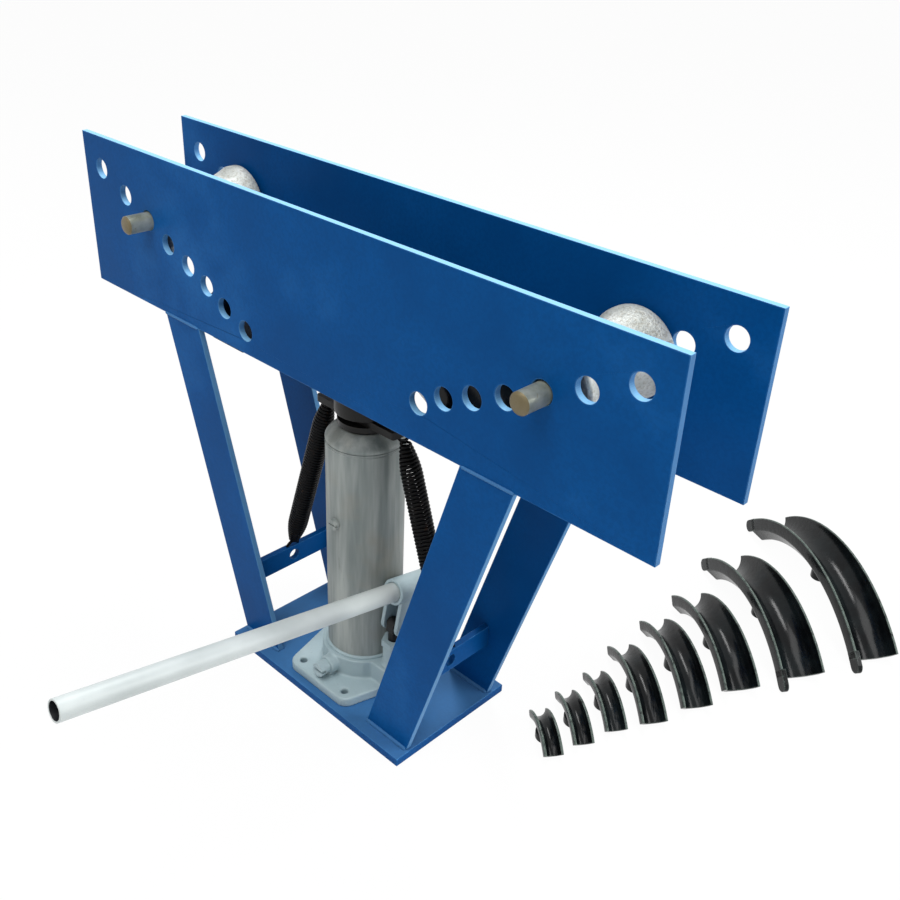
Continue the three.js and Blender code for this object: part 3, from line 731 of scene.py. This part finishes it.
def makeFrame(sizes):
    edge, legSheen, baseSheen = sizes["edge"], sizes["legPaintedSheen"], sizes["basePaintedSheen"]
    # Painted highlight on the base's top face and the legs' narrow faces
    base = markFaces(nodeCopy("base_plate"), "paintedSheen", lambda face: baseSheen * (face.normal.z > facing))
    addPiece("base_plate_steel", base, blueEnamel, "frame", ["base_plate"], edge)
    for row in ("near", "far"):
        node = row + "_side_plate"
        plate = sidePlateShape(node, sizes)
        plateEdge = edge * sizes["plateEdgeShare"]
        addPiece(node + "_steel", plate, blueEnamel, "frame", [node], plateEdge, smooth=False)
        for side in ("left", "right"):
            node = row + "_" + side + "_leg"
            leg = markFaces(nodeCopy(node), "paintedSheen", lambda face: legSheen * (abs(face.normal.y) < facing))
            addPiece(node + "_bar", leg, blueEnamel, "frame", [node], edge)
    for side in ("left", "right"):
        node = side + "_brace"
        addPiece(node + "_bar", nodeCopy(node), blueEnamel, "frame", [node], edge)


makeFrame(frameSizes)


# Weld beads where the legs meet the plates and the base, finer at the plates
weldSizes = {
    "thinPaint": 0.18,
    "radius": 2.7 * mm,
    "step": 1.7 * mm,
    "bar": 62 * mm,
    "lift": 0.3,
    "topShare": 0.6,
    "startShare": 0.5,
    "swell": 0.9,
    "ripple": 0.16,
    "chance": 0.08,
    "endShare": 0.6,
}


# One bead of weld, rippled along its way
def beadShape(start, end, radius, seed, sizes):
    chance = random.Random(seed)
    start, end = Vector(start), Vector(end)
    way = (end - start).normalized()
    count = max(3, round((end - start).length / sizes["step"]))
    bm = bmesh.new()
    first = radius * sizes["startShare"]
    made = ops.create_circle(bm, cap_ends=True, radius=first, segments=8, matrix=along(start, way))
    face = made["verts"][0].link_faces[0]
    for i in range(count):
        swell = radius * (sizes["swell"] + sizes["ripple"] * (i % 2) + sizes["chance"] * chance.random())
        swell *= sizes["endShare"] if i in (0, count - 1) else 1
        face = ops.extrude_discrete_faces(bm, faces=[face])["faces"][0]
        middle = start.lerp(end, (i + 1) / count)
        centre = face.calc_center_median()
        for vert in face.verts:
            vert.co = middle + (vert.co - centre).normalized() * swell
    ops.holes_fill(bm, edges=[edge for edge in bm.edges if edge.is_boundary])
    ops.recalc_face_normals(bm, faces=bm.faces)
    return bm


def makeWelds(sizes):
    radius, bar = sizes["radius"], sizes["bar"]
    shapes = []
    seed = 0
    for row in ("near", "far"):
        for side, sign in (("left", -1), ("right", 1)):
            low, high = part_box(row + "_" + side + "_leg")
            outerTop, footInner = (high.x, low.x) if sign > 0 else (low.x, high.x)
            footZ = low.z + radius * sizes["lift"]
            for y in (low.y, high.y):
                seed += 2
                top = ((outerTop - sign * bar, y, high.z), (outerTop, y, high.z))
                foot = ((footInner, y, footZ), (footInner + sign * bar, y, footZ))
                shapes.append(beadShape(*top, radius * sizes["topShare"], seed, sizes))
                shapes.append(beadShape(*foot, radius, seed + 1, sizes))
    # All beads carry a share of painted highlight
    beads = markFaces(joined(*shapes), "paintedSheen", lambda face: sizes["thinPaint"])
    addPiece("weld_beads", beads, blueEnamel, "frame", sharp=80)


makeWelds(weldSizes)
print("frame made")


# Rollers and their pins
rollerSizes = {
    "rim": 9 * mm,
    "waist": 29 * mm,
    "bore": 10.4 * mm,
    "grooveSteps": 14,
    "corner": 2.2 * mm,
    "recess": 2.5 * mm,
    "recessEdge": 7 * mm,
    "rimFace": 5 * mm,
    "hub": 17 * mm,
}
pinSizes = {"radius": 10 * mm, "chamfer": 1.6 * mm, "dome": 0.5 * mm, "edge": 1 * mm, "foot": 0.1 * mm}


def rollerShape(node, sizes):
    low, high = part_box(node)
    middle = (low + high) / 2
    radius = (high.z - low.z) / 2
    half = (high.y - low.y) / 2
    inner = half - sizes["rim"]
    face = half - sizes["recess"]
    hub = sizes["hub"]
    profile = [(sizes["bore"], -half), (hub, -half), (hub + mm, -face), (radius - sizes["recessEdge"], -face)]
    profile += [(radius - sizes["rimFace"], -half), (radius, -half)]
    groove = []
    for i in range(sizes["grooveSteps"] + 1):
        share = 2 * i / sizes["grooveSteps"] - 1
        groove.append((radius - (radius - sizes["waist"]) * math.cos(share * math.pi / 2), share * inner))
    rounded = roundCorners(profile + [groove[0]], sizes["corner"], 3, closed=False)[:-1]
    mirrored = [(r, -h) for r, h in reversed(rounded)]
    bm = turnedShape(rounded + groove + mirrored, 72, closed=True)
    return place(bm, along(middle, (0, 1, 0)))


def pinShape(node, sizes):
    low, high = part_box(node)
    middle = (low + high) / 2
    length = high.y - low.y
    radius, dome = sizes["radius"], sizes["dome"]
    face = radius - sizes["chamfer"]
    profile = [(0, 0), (face - sizes["edge"], sizes["foot"]), (face, dome), (radius, sizes["chamfer"] + dome)]
    other = [(r, length - h) for r, h in reversed(profile)]
    bm = place(turnedShape(profile + other, 48), along((middle.x, low.y, middle.z), (0, 1, 0)))
    return markFaces(bm, "sawn", lambda face: abs(face.normal.y) > facing)


for side in ("left", "right"):
    roller, pin = side + "_roller", side + "_roller_pin"
    spool = rollerShape(roller, rollerSizes)
    addPiece(side + "_roller_spool", spool, rollerPaint, side + "_roller_body", [roller], sharp=50)
    addPiece(side + "_pin_bar", pinShape(pin, pinSizes), bareSteel, side + "_pin_body", [pin])
print("rollers made")


# Jack. The tank's rim is a list of insets from its radius and drops from its top
jackSizes = {
    "voxel": 1.3 * mm,
    "smoothing": 4,
    "tankWall": 4 * mm,
    "tankRim": ((0, 3.4 * mm), (0.7 * mm, 2.6 * mm), (0.7 * mm, 1.2 * mm), (0, 0)),
    "bore": 22.4 * mm,
    "spigot": 25.7 * mm,
    "capTop": 30 * mm,
    "capCorner": 2 * mm,
    "shoulder": 4 * mm,
    "shoulderSlope": (2.5 * mm, 7 * mm),
    "brow": 3.5 * mm,
    "browTop": 1 * mm,
    "recess": (4 * mm, 6 * mm),
    "weldRing": 2.6 * mm,
    "weldLift": 0.2,
}


def tankShape(sizes):
    low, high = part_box("reservoir_tube")
    radius = (high.x - low.x) / 2
    inner = radius - sizes["tankWall"]
    rim = [(radius - inset, high.z - drop) for inset, drop in sizes["tankRim"]]
    return turnedShape([(inner, low.z), (radius, low.z), *rim, (inner, high.z)], 96, closed=True)


def capShape(sizes):
    low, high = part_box("gland_cap")
    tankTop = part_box("reservoir_tube")[1].z
    radius = (high.x - low.x) / 2
    top, bore, spigot, brow = sizes["capTop"], sizes["bore"], sizes["spigot"], sizes["brow"]
    slopeIn, slopeUp = sizes["shoulderSlope"]
    wide, deep = sizes["recess"]
    profile = [(bore, low.z), (spigot, low.z), (spigot, tankTop), (radius, tankTop)]
    profile += [(radius, tankTop + sizes["shoulder"]), (radius - slopeIn, tankTop + slopeUp)]
    profile += [(top + brow, high.z - brow), (top - sizes["browTop"], high.z), (bore + wide, high.z)]
    profile += [(bore + wide, high.z - deep), (bore, high.z - deep)]
    return softTurned(profile, sizes["capCorner"], 96, closed=True, parts=4)


def makeJack(sizes):
    foot = addPiece("jack_casting", nodeCopy("jack_base"), castPaint, "frame", ["jack_base"])
    castTogether(foot, sizes["voxel"], sizes["smoothing"])
    addPiece("tank", tankShape(sizes), tankPaint, "frame", ["reservoir_tube"])
    addPiece("tank_cap", capShape(sizes), tankPaint, "frame", ["gland_cap"], sharp=60)
    low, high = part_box("reservoir_tube")
    radius = (high.x - low.x) / 2
    bead = sizes["weldRing"]
    angles = [turn * i / 12 for i in range(12)]
    ring = [(radius + bead * math.cos(a), low.z + bead * (sizes["weldLift"] + math.sin(a))) for a in angles]
    addPiece("tank_weld", turnedShape(ring, 96, closed=True), castPaint, "frame", sharp=80)


makeJack(jackSizes)


# Slotted screws on the near side: the filler plug and the release valve
overlap = 0.2 * mm
fillerSizes = {"head": 5 * mm, "radius": 6.4 * mm, "slot": 1.6 * mm, "slotShare": 0.4, "stem": 4 * mm}
valveSizes = {"head": 13 * mm, "radius": 8.4 * mm, "slot": 3.4 * mm, "slotShare": 0.45, "stem": 5.5 * mm}


def screwShape(node, sizes):
    low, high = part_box(node)
    head, radius, stem = sizes["head"], sizes["radius"], sizes["stem"]
    floor = head * (1 - sizes["slotShare"])
    middle = ((low.x + high.x) / 2, low.y + head, (low.z + high.z) / 2)
    shank = high.y - low.y - head
    body = [(0, -shank), (stem, -shank), (stem, -overlap), (radius, -overlap), (radius, floor), (0, floor)]
    shapes = [turnedShape(body, 40)]
    start = math.asin(sizes["slot"] / 2 / radius)
    for side in (-1, 1):
        cheek = [(a, side * b) for a, b in arcPoints(0, 0, radius, start, math.pi - 2 * start, 16)]
        shapes.append(outlineShape(cheek, floor - overlap, head))
    return place(joined(*shapes), along(middle, (0, -1, 0)))


filler = screwShape("filler_plug", fillerSizes)
addPiece("filler_screw", filler, tankPaint, "filler", ["filler_plug"], 0.5 * mm)
valve = screwShape("release_valve", valveSizes)
addPiece("valve_screw", valve, castPaint, "valve", ["release_valve"], 0.8 * mm)


# Pump: barrel with a hexagon gland, plunger with an eye, bracket and pins
pumpSizes = {
    "axis": (60 * mm, -10 * mm),
    "barrel": 12.9 * mm,
    "corner": 1.5 * mm,
    "bore": 7.35 * mm,
    "flare": 15 * mm,
    "flareHeight": 4 * mm,
    "gland": 14.9 * mm,
    "glandHeight": 8 * mm,
    "rod": 7 * mm,
    "rodDrop": 6 * mm,
    "eye": 8 * mm,
    "eyeWidth": 11 * mm,
    "eyeHole": 4.3 * mm,
    "bracket": 10 * mm,
    "bracketWidth": 12 * mm,
    "bracketHole": 5.3 * mm,
    "pinHead": 3 * mm,
    "pinCorner": 0.8 * mm,
}


# A plate along X with a round top and a hole in it
def lugShape(x, y, z, radius, bottom, hole, width):
    outline = arcPoints(y, z, radius, 0, math.pi, 16) + [(y - radius, bottom), (y + radius, bottom)]
    return outlineShape(outline, x - width / 2, x + width / 2, "X", [circlePoints(y, z, hole, 24)])


def makePump(sizes):
    x, y = sizes["axis"]
    centre = Matrix.Translation((x, y, 0))
    bore, wide = sizes["bore"], sizes["barrel"]
    low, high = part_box("pump_cylinder")
    glandLow = high.z - sizes["glandHeight"]
    profile = [(bore, low.z), (sizes["flare"], low.z), (wide, low.z + sizes["flareHeight"])]
    profile += [(wide, glandLow + overlap), (bore, glandLow + overlap)]
    barrel = place(softTurned(profile, sizes["corner"], 48, closed=True), centre)
    hexagon = circlePoints(x, y, sizes["gland"], 6)
    nut = outlineShape(hexagon, glandLow, high.z, holes=[circlePoints(x, y, bore, 32)])
    addPiece("pump_barrel", joined(barrel, nut), castPaint, "frame", ["pump_cylinder"], 0.7 * mm)

    low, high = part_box("plunger")
    eye = sizes["eye"]
    z = high.z - eye
    rodTop = z - sizes["rodDrop"]
    rod = turnedShape([(0, low.z), (sizes["rod"], low.z), (sizes["rod"], rodTop), (0, rodTop)], 40)
    lug = lugShape(x, y, z, eye, z - eye, sizes["eyeHole"], sizes["eyeWidth"])
    addPiece("pump_rod", joined(place(rod, centre), lug), darkSteel, "pump_plunger", ["plunger"], 0.6 * mm)

    low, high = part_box("fulcrum_bracket")
    radius = sizes["bracket"]
    y, z = (low.y + high.y) / 2, high.z - radius
    lug = lugShape(x, y, z, radius, low.z, sizes["bracketHole"], sizes["bracketWidth"])
    addPiece("lever_bracket", lug, castPaint, "frame", ["fulcrum_bracket"], 1 * mm)


# Pin with a head at one end, lying along X
def headedPinShape(node, sizes):
    low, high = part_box(node)
    head = sizes["pinHead"]
    wide = (high.z - low.z) / 2
    thin = wide - head / 2
    length = high.x - low.x
    profile = [(0, 0), (wide, 0), (wide, head), (thin, head), (thin, length), (0, length)]
    bm = softTurned(profile, sizes["pinCorner"], 32)
    return place(bm, along((low.x, (low.y + high.y) / 2, (low.z + high.z) / 2), (1, 0, 0)))


makePump(pumpSizes)
rodPin, leverPin = headedPinShape("plunger_pin", pumpSizes), headedPinShape("fulcrum_pin", pumpSizes)
addPiece("pump_rod_pin", rodPin, darkSteel, "pump_plunger", ["plunger_pin"])
addPiece("lever_pin", leverPin, darkSteel, "frame", ["fulcrum_pin"])


# Handle socket: a bored barrel over two lugs
socketSizes = {
    "pitch": 11.4,
    "fulcrum": (60 * mm, 26.705 * mm, 111.835 * mm),
    "rise": 27.6 * mm,
    "back": 24 * mm,
    "mouth": 47 * mm,
    "radius": 15 * mm,
    "corner": 1.6 * mm,
    "bore": 10.95 * mm,
    "boreBack": 8.3 * mm,
    "lug": 10 * mm,
    "lugs": (8 * mm, 13 * mm),
    "pin": (-33.46 * mm, -16.61 * mm),
    "pinHole": 4.8 * mm,
    "fulcrumHole": 5.4 * mm,
}


def makeSocket(sizes):
    lever = Matrix.Translation(sizes["fulcrum"]) @ Matrix.Rotation(-math.radians(sizes["pitch"]), 4, "X")
    radius, bore, mouth = sizes["radius"], sizes["bore"], sizes["mouth"]
    back, boreBack = -sizes["back"], -sizes["boreBack"]
    profile = [(0, back), (radius, back), (radius, mouth), (bore, mouth), (bore, boreBack), (0, boreBack)]
    barrel = softTurned(profile, sizes["corner"], 56, parts=4)
    shapes = [place(barrel, lever @ along((0, 0, sizes["rise"]), (0, -1, 0)))]
    lug = sizes["lug"]
    pinY, pinZ = sizes["pin"]
    slope = math.atan2(pinY, -pinZ)
    outline = [(lug, sizes["rise"])]
    outline += arcPoints(0, 0, lug, 0, slope, 8)
    outline += arcPoints(pinY, pinZ, lug, slope, -math.pi - slope, 10)
    outline.append((pinY - lug, sizes["rise"]))
    holes = [circlePoints(0, 0, sizes["fulcrumHole"], 24), circlePoints(pinY, pinZ, sizes["pinHole"], 24)]
    inner, outer = sizes["lugs"]
    for low, high in ((-outer, -inner), (inner, outer)):
        shapes.append(place(outlineShape(outline, low, high, "X", holes), lever))
    socket = joined(*shapes)
    addPiece("lever_socket", socket, castPaint, "lever", ["handle_socket"], 0.9 * mm, sharp=42, limit=42)


makeSocket(socketSizes)


# Ram: rod with its piston land, saddle, and the bar that the springs pull on
ramSizes = {
    "neck": 12.3 * mm,
    "hub": 30 * mm,
    "barDepth": 34 * mm,
    "barThickness": 8 * mm,
    "hubOverlap": 0.3 * mm,
    "springHole": 6.5 * mm,
    "springHoleX": 47 * mm,
    "corner": 4 * mm,
    "land": 20 * mm,
    "rod": 22 * mm,
    "neckRadius": 12 * mm,
    "neckLength": 34 * mm,
    "spigot": 8 * mm,
    "spigotHeight": 9 * mm,
    "neckDepth": 20.3 * mm,
    "edge": 1.4 * mm,
}


def makeRam(sizes):
    rod, thin, neck, spigot = sizes["rod"], sizes["neckRadius"], sizes["neck"], sizes["spigot"]
    low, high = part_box("ram_rod")
    land = (high.x - low.x) / 2
    shoulder = high.z - sizes["neckLength"]
    profile = [(0, low.z), (land, low.z), (land, low.z + sizes["land"]), (rod, low.z + sizes["land"])]
    profile += [(rod, shoulder), (thin, shoulder), (thin, high.z), (0, high.z)]
    addPiece("ram_bar", softTurned(profile, sizes["edge"], 64), bareSteel, "ram", ["ram_rod"])

    low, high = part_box("ram_head")
    top = high.z - sizes["spigotHeight"]
    radius = (high.x - low.x) / 2
    neckTop = low.z + sizes["neckDepth"]
    profile = [(0, neckTop), (neck, neckTop), (neck, low.z), (radius, low.z), (radius, top)]
    profile += [(spigot, top), (spigot, high.z), (0, high.z)]
    addPiece("ram_saddle", softTurned(profile, sizes["edge"], 72), darkSteel, "ram", ["ram_head"])

    low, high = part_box("spring_crossbar")
    barLow = high.z - sizes["barThickness"]
    hubTop = barLow + sizes["hubOverlap"]
    deep = sizes["barDepth"] / 2
    bar = roundCorners([(low.x, -deep), (high.x, -deep), (high.x, deep), (low.x, deep)], sizes["corner"], 5)
    holes = [circlePoints(0, 0, neck, 40)]
    holes += [circlePoints(side * sizes["springHoleX"], 0, sizes["springHole"], 28) for side in (-1, 1)]
    hub = [(neck, low.z), (sizes["hub"], low.z), (sizes["hub"], hubTop), (neck, hubTop)]
    shapes = [outlineShape(bar, barLow, high.z, holes=holes), turnedShape(hub, 64, closed=True)]
    addPiece("spring_bar", joined(*shapes), darkSteel, "ram", ["spring_crossbar"], 1 * mm)


makeRam(ramSizes)


# Handle: an open tube with a thin wall, with painted shade on its inner wall
handleSizes = {
    "pitch": socketSizes["pitch"],
    "radius": 10.65 * mm,
    "wall": 1.9 * mm,
    "lip": 0.6 * mm,
    "boreRoom": 0.1 * mm,
}


def makeHandle(sizes):
    low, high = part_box("handle_tube")
    pitch = math.radians(sizes["pitch"])
    way = Vector((0, -math.cos(pitch), math.sin(pitch)))
    radius = sizes["radius"]
    length = (high.y - low.y - 2 * radius * math.sin(pitch)) / math.cos(pitch)
    x = (low.x + high.x) / 2
    inEnd = Vector((x, high.y - radius * math.sin(pitch), low.z + radius * math.cos(pitch)))
    inner = radius - sizes["wall"]
    profile = [(inner, 0), (radius, 0), (radius, length), (inner, length)]
    tube = softTurned(profile, sizes["lip"], 56, closed=True)
    # Marks the inner wall for painted shade
    markFaces(tube, "bore", lambda face: fromAxis(face, 2) < inner + sizes["boreRoom"])
    addPiece("handle_bar", place(tube, along(inEnd, way)), tubePaint, "handle", ["handle_tube"])


makeHandle(handleSizes)
print("jack made")


# Return springs: a tight coil with narrowed ends, and a hook at each end
springSizes = {
    "turns": 56,
    "stepsPerTurn": 18,
    "wire": 3.7 * mm,
    "coil": 24 * mm,
    "hookRadius": 8 * mm,
    "hookTurn": 0.86,
    "hookTilt": -65,
    "taper": 9,
    "taperTo": 0.5,
    "neck": 10 * mm,
    "braceDrop": 0.7 * mm,
    "barInset": 3.25 * mm,
    "barDrop": 5.8 * mm,
}


# The wire's round end, ready to be spun
def wireEnd(radius, sizes, segments, tilt):
    bm = bmesh.new()
    where = Matrix.Translation((radius, 0, 0)) @ Matrix.Rotation(tilt, 4, "X")
    ops.create_circle(bm, cap_ends=True, radius=sizes["wire"] / 2, segments=segments, matrix=where)
    return bm


def coilShape(length, sizes):
    bm = wireEnd((sizes["coil"] - sizes["wire"]) / 2, sizes, 9, math.pi / 2)
    steps = sizes["turns"] * sizes["stepsPerTurn"]
    spinWhole(bm, (0, 0, 1), turn * sizes["turns"], steps, length / steps)
    span = sizes["taper"] * length / sizes["turns"]
    for vert in bm.verts:
        near = min(vert.co.z, length - vert.co.z) / span
        if near < 1:
            share = sizes["taperTo"] + (1 - sizes["taperTo"]) * math.sin(max(near, 0) * math.pi / 2)
            vert.co.x *= share
            vert.co.y *= share
    return bm


def hookShape(sizes):
    bm = wireEnd(sizes["hookRadius"], sizes, 10, 0)
    spinWhole(bm, (0, 1, 0), turn * sizes["hookTurn"], 30)
    return place(bm, Matrix.Rotation(math.radians(sizes["hookTilt"]), 4, "Y"))


def makeSpring(side, sign, sizes):
    node = side + "_return_spring"
    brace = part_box(side + "_brace")
    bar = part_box("spring_crossbar")
    lowEnd = Vector(((brace[0].x + brace[1].x) / 2, 0, brace[1].z - sizes["braceDrop"]))
    highEnd = Vector((sign * (bar[1].x - sizes["barInset"]), 0, bar[1].z - sizes["barDrop"]))
    way = highEnd - lowEnd
    length = way.length - 2 * sizes["neck"]
    matrix = along(lowEnd, way)
    coil = place(coilShape(length, sizes), matrix @ Matrix.Translation((0, 0, sizes["neck"])))
    lowHook = place(hookShape(sizes), matrix @ Matrix.Rotation(math.pi, 4, "X"))
    highHook = place(hookShape(sizes), along(highEnd, way))
    bm = joined(coil, lowHook, highHook)
    ops.recalc_face_normals(bm, faces=bm.faces)
    spring = addPiece(side + "_spring_coil", bm, springWire, None, [node], sharp=70)
    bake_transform(spring)


for side, sign in (("left", -1), ("right", 1)):
    makeSpring(side, sign, springSizes)
print("springs made")


# Dies. The loose ones stand in a row of falling size, and the two largest have ears
dieSizes = {
    "lip": 3 * mm,
    "wall": 6 * mm,
    "bandShare": 0.55,
    "backShare": 0.55,
    "spread": 40,
    "yaw": -36,
    "corner": 1.6 * mm,
    "boss": 12 * mm,
    "bossLength": 18 * mm,
    "bossRoom": 0.7,
    "bossCorner": 1.5 * mm,
    "socket": 8.4 * mm,
    "socketDepth": 10 * mm,
    "ear": 9 * mm,
    "earThickness": 6 * mm,
    "eared": 2,
    "chords": (72, 85, 97, 133, 157, 180, 240, 306),
    "widths": (22, 23.5, 25.5, 31, 36, 44, 55, 57),
    "names": ("one", "two", "three", "four", "five", "six", "seven", "eight"),
    "rowStart": (229 * mm, 63 * mm),
    "rowPitches": (41, 46, 50, 63, 68, 88, 116),
    "rowDrift": 0.176,
    "grooveSteps": 18,
    "edge": 0.7 * mm,
}
bigDieSizes = {
    **dieSizes,
    "inner": 226 * mm,
    "wall": 19 * mm,
    "groove": 45 * mm,
    "lip": 6 * mm,
    "spread": 50,
    "boss": 32 * mm,
    "bossLength": 62 * mm,
    "edge": 1.0 * mm,
}


def arcShape(inner, groove, steps, sizes):
    wall, spread = sizes["wall"], math.radians(sizes["spread"])
    outer = inner + wall + groove
    half = groove + sizes["lip"]
    bandHeight = sizes["bandShare"] * (groove + wall)
    side = [(inner, 0), (inner, sizes["backShare"] * half), (outer - bandHeight, half), (outer, half)]
    grooveLine = []
    for i in range(1, sizes["grooveSteps"]):
        angle = math.pi * i / sizes["grooveSteps"]
        grooveLine.append((outer - groove * math.sin(angle), groove * math.cos(angle)))
    corners = side + [(outer, groove), grooveLine[0]]
    rounded = roundCorners(corners, sizes["corner"], 3, closed=False)[1:-1]
    mirrored = [(r, -h) for r, h in reversed(rounded)]
    bm = bmesh.new()
    bm.faces.new([bm.verts.new((radius, across, 0)) for radius, across in rounded + grooveLine + mirrored])
    back = Matrix.Rotation(-math.pi / 2 + spread, 3, "Y")
    ops.rotate(bm, verts=bm.verts, cent=(0, 0, 0), matrix=back)
    spinWhole(bm, (0, 1, 0), -2 * spread, steps)
    ops.recalc_face_normals(bm, faces=bm.faces)
    rim = outer - dieSizes["lip"] / 2

    def onLip(face):
        return fromAxis(face, 1) > rim and abs(face.calc_center_median().y) > groove

    return markFaces(bm, "lip", onLip)


def bossShape(inner, reach, sizes):
    radius, socket = sizes["boss"], sizes["socket"]
    low, top = inner - reach, inner + sizes["wall"] / 2
    floor = low + sizes["socketDepth"]
    profile = [(0, floor), (socket, floor), (socket, low), (radius, low), (radius, top), (0, top)]
    return softTurned(profile, sizes["bossCorner"], 40)


def earShape(outer, groove, side, sizes):
    ear, half = sizes["ear"], groove + sizes["lip"]
    radius = sizes["bandShare"] * (groove + sizes["wall"]) / 2
    points = [(-radius, -radius), (ear, -radius)]
    angles = [math.pi * i / 12 for i in range(1, 12)]
    points += [(ear + radius * math.sin(a), -radius * math.cos(a)) for a in angles]
    points += [(ear, radius), (-radius, radius)]
    bm = outlineShape(points, -half, -half + sizes["earThickness"], "Y")
    tilt = Matrix.Rotation(math.radians(sizes["spread"]), 4, "Y")
    place(bm, tilt @ Matrix.Translation((0, 0, outer - radius)))
    if side < 0:
        place(bm, Matrix.Diagonal((-1, 1, 1, 1)))
        ops.reverse_faces(bm, faces=bm.faces)
    return bm


def addDie(name, shapes, matrix, body, node, sizes):
    bm = place(joined(*shapes), matrix)
    addPiece(name, bm, dieEnamel, body, [node], sizes["edge"], sharp=44, limit=50)


def makeLooseDie(i, name, sizes, start):
    groove = sizes["widths"][i] * mm / 2 - sizes["lip"]
    spread = math.radians(sizes["spread"])
    outer = sizes["chords"][i] * mm / 2 / math.sin(spread)
    inner = outer - groove - sizes["wall"]
    node = "loose_die_" + name
    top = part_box(node)[1].z
    reach = min(sizes["bossLength"], sizes["bossRoom"] * inner * (1 - math.cos(spread)))
    shapes = [arcShape(inner, groove, 28 + 5 * i, sizes), bossShape(inner, reach, sizes)]
    if i >= len(sizes["chords"]) - sizes["eared"]:
        shapes += [earShape(outer, groove, side, sizes) for side in (-1, 1)]
    stand = Matrix.Translation((*start, top - outer)) @ Matrix.Rotation(math.radians(sizes["yaw"]), 4, "Z")
    addDie(node + "_casting", shapes, stand, "die_" + name, node, sizes)


def makeMountedDie(sizes):
    outer = sizes["inner"] + sizes["wall"] + sizes["groove"]
    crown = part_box("mounted_die")[1].z
    boss = bossShape(sizes["inner"], sizes["bossLength"], sizes)
    shapes = [arcShape(sizes["inner"], sizes["groove"], 64, sizes), boss]
    stand = Matrix.Translation((0, 0, crown - outer))
    addDie("mounted_die_casting", shapes, stand, "bending_die", "mounted_die", sizes)


x, y = dieSizes["rowStart"]
for i, name in enumerate(dieSizes["names"]):
    makeLooseDie(i, name, dieSizes, (x, y))
    if i < len(dieSizes["rowPitches"]):
        x += dieSizes["rowPitches"][i] * mm * dieSizes["rowDrift"]
        y += dieSizes["rowPitches"][i] * mm
makeMountedDie(bigDieSizes)
print("dies made")


# Finishes for the pieces inside the jack that keep the frame's shape
insideFinishes = {
    "pressure_cylinder": bareSteel,
    "delivery_ball": bareSteel,
    "suction_ball": bareSteel,
    "wiper_seal": sealRubber,
    "piston_seal": sealRubber,
}
for node, material in insideFinishes.items():
    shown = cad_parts[node]
    shown.data.materials.clear()
    shown.data.materials.append(material)


# Floor, soft lamps and a white surround
floorFinish = {"size": 30, "colour": "#f4f4f4", "roughness": 0.9, "glow": 0.96}
studio = {
    "surround": 0.3,
    "lamps": {
        "top": {"place": (0.2, -1.0, 3.0), "aim": (0, 0, 0.3), "size": (2.4, 2.4), "power": 76},
        "front": {"place": (-1.6, -3.0, 1.4), "aim": (0, 0, 0.3), "size": (1.6, 1.6), "power": 6},
        "right": {"place": (2.4, 1.3, 1.25), "aim": (0, 0, 0.2), "size": (1.6, 1.6), "power": 50},
        "strip": {"place": (-0.57, 0.97, 2.4), "aim": (0.27, 0.35, 0.15), "size": (0.45, 1.5), "power": 34},
    },
}


# Rays that show the surround: straight to the camera, mirrored, or through glass
def seenRays(tree):
    path = addNode(tree, "ShaderNodeLightPath").outputs
    seen = maths(tree, "MAXIMUM", path["Is Camera Ray"], path["Is Glossy Ray"])
    return maths(tree, "MAXIMUM", seen, path["Is Transmission Ray"])


def mixShaders(tree, factor, first, second, target):
    mix = addNode(tree, "ShaderNodeMixShader")
    for socket, value in zip(mix.inputs, (factor, first.outputs[0], second.outputs[0])):
        feed(tree, value, socket)
    feed(tree, mix.outputs[0], target.inputs["Surface"])


def makeFloor(finish):
    bm = bmesh.new()
    ops.create_grid(bm, x_segments=1, y_segments=1, size=finish["size"] / 2)
    mesh = meshFrom("floor", bm)
    floor = addObject("floor", mesh)
    material, tree, shader, _ = startMaterial("floorWhite", finish)
    feed(tree, finish["colour"], shader.inputs["Base Color"])
    glow = addNode(tree, "ShaderNodeEmission", {"Strength": 1.0})
    share = times(tree, seenRays(tree), finish["glow"])
    mixShaders(tree, share, shader, glow, tree.nodes["Material Output"])
    mesh.materials.append(material)


def makeWorld(setup):
    world = bpy.data.worlds.new("studio")
    world.use_nodes = True
    tree = world.node_tree
    tree.nodes.clear()
    white = (1, 1, 1, 1)
    dim = addNode(tree, "ShaderNodeBackground", {"Strength": setup["surround"], "Color": white})
    bright = addNode(tree, "ShaderNodeBackground", {"Strength": 1.0, "Color": white})
    mixShaders(tree, seenRays(tree), dim, bright, addNode(tree, "ShaderNodeOutputWorld"))
    bpy.context.scene.world = world


def makeLamps(setup):
    for name, values in setup["lamps"].items():
        data = bpy.data.lights.new(name, "AREA")
        data.shape = "RECTANGLE"
        data.size, data.size_y = values["size"]
        data.energy = values["power"]
        lamp = addObject(name, data)
        spot = Vector(values["place"])
        look = (Vector(values["aim"]) - spot).to_track_quat("-Z", "Y").to_matrix().to_4x4()
        lamp.matrix_world = Matrix.Translation(spot) @ look


makeFloor(floorFinish)
makeWorld(studio)
makeLamps(studio)
bpy.context.scene.view_settings.view_transform = "Standard"
print("studio made")
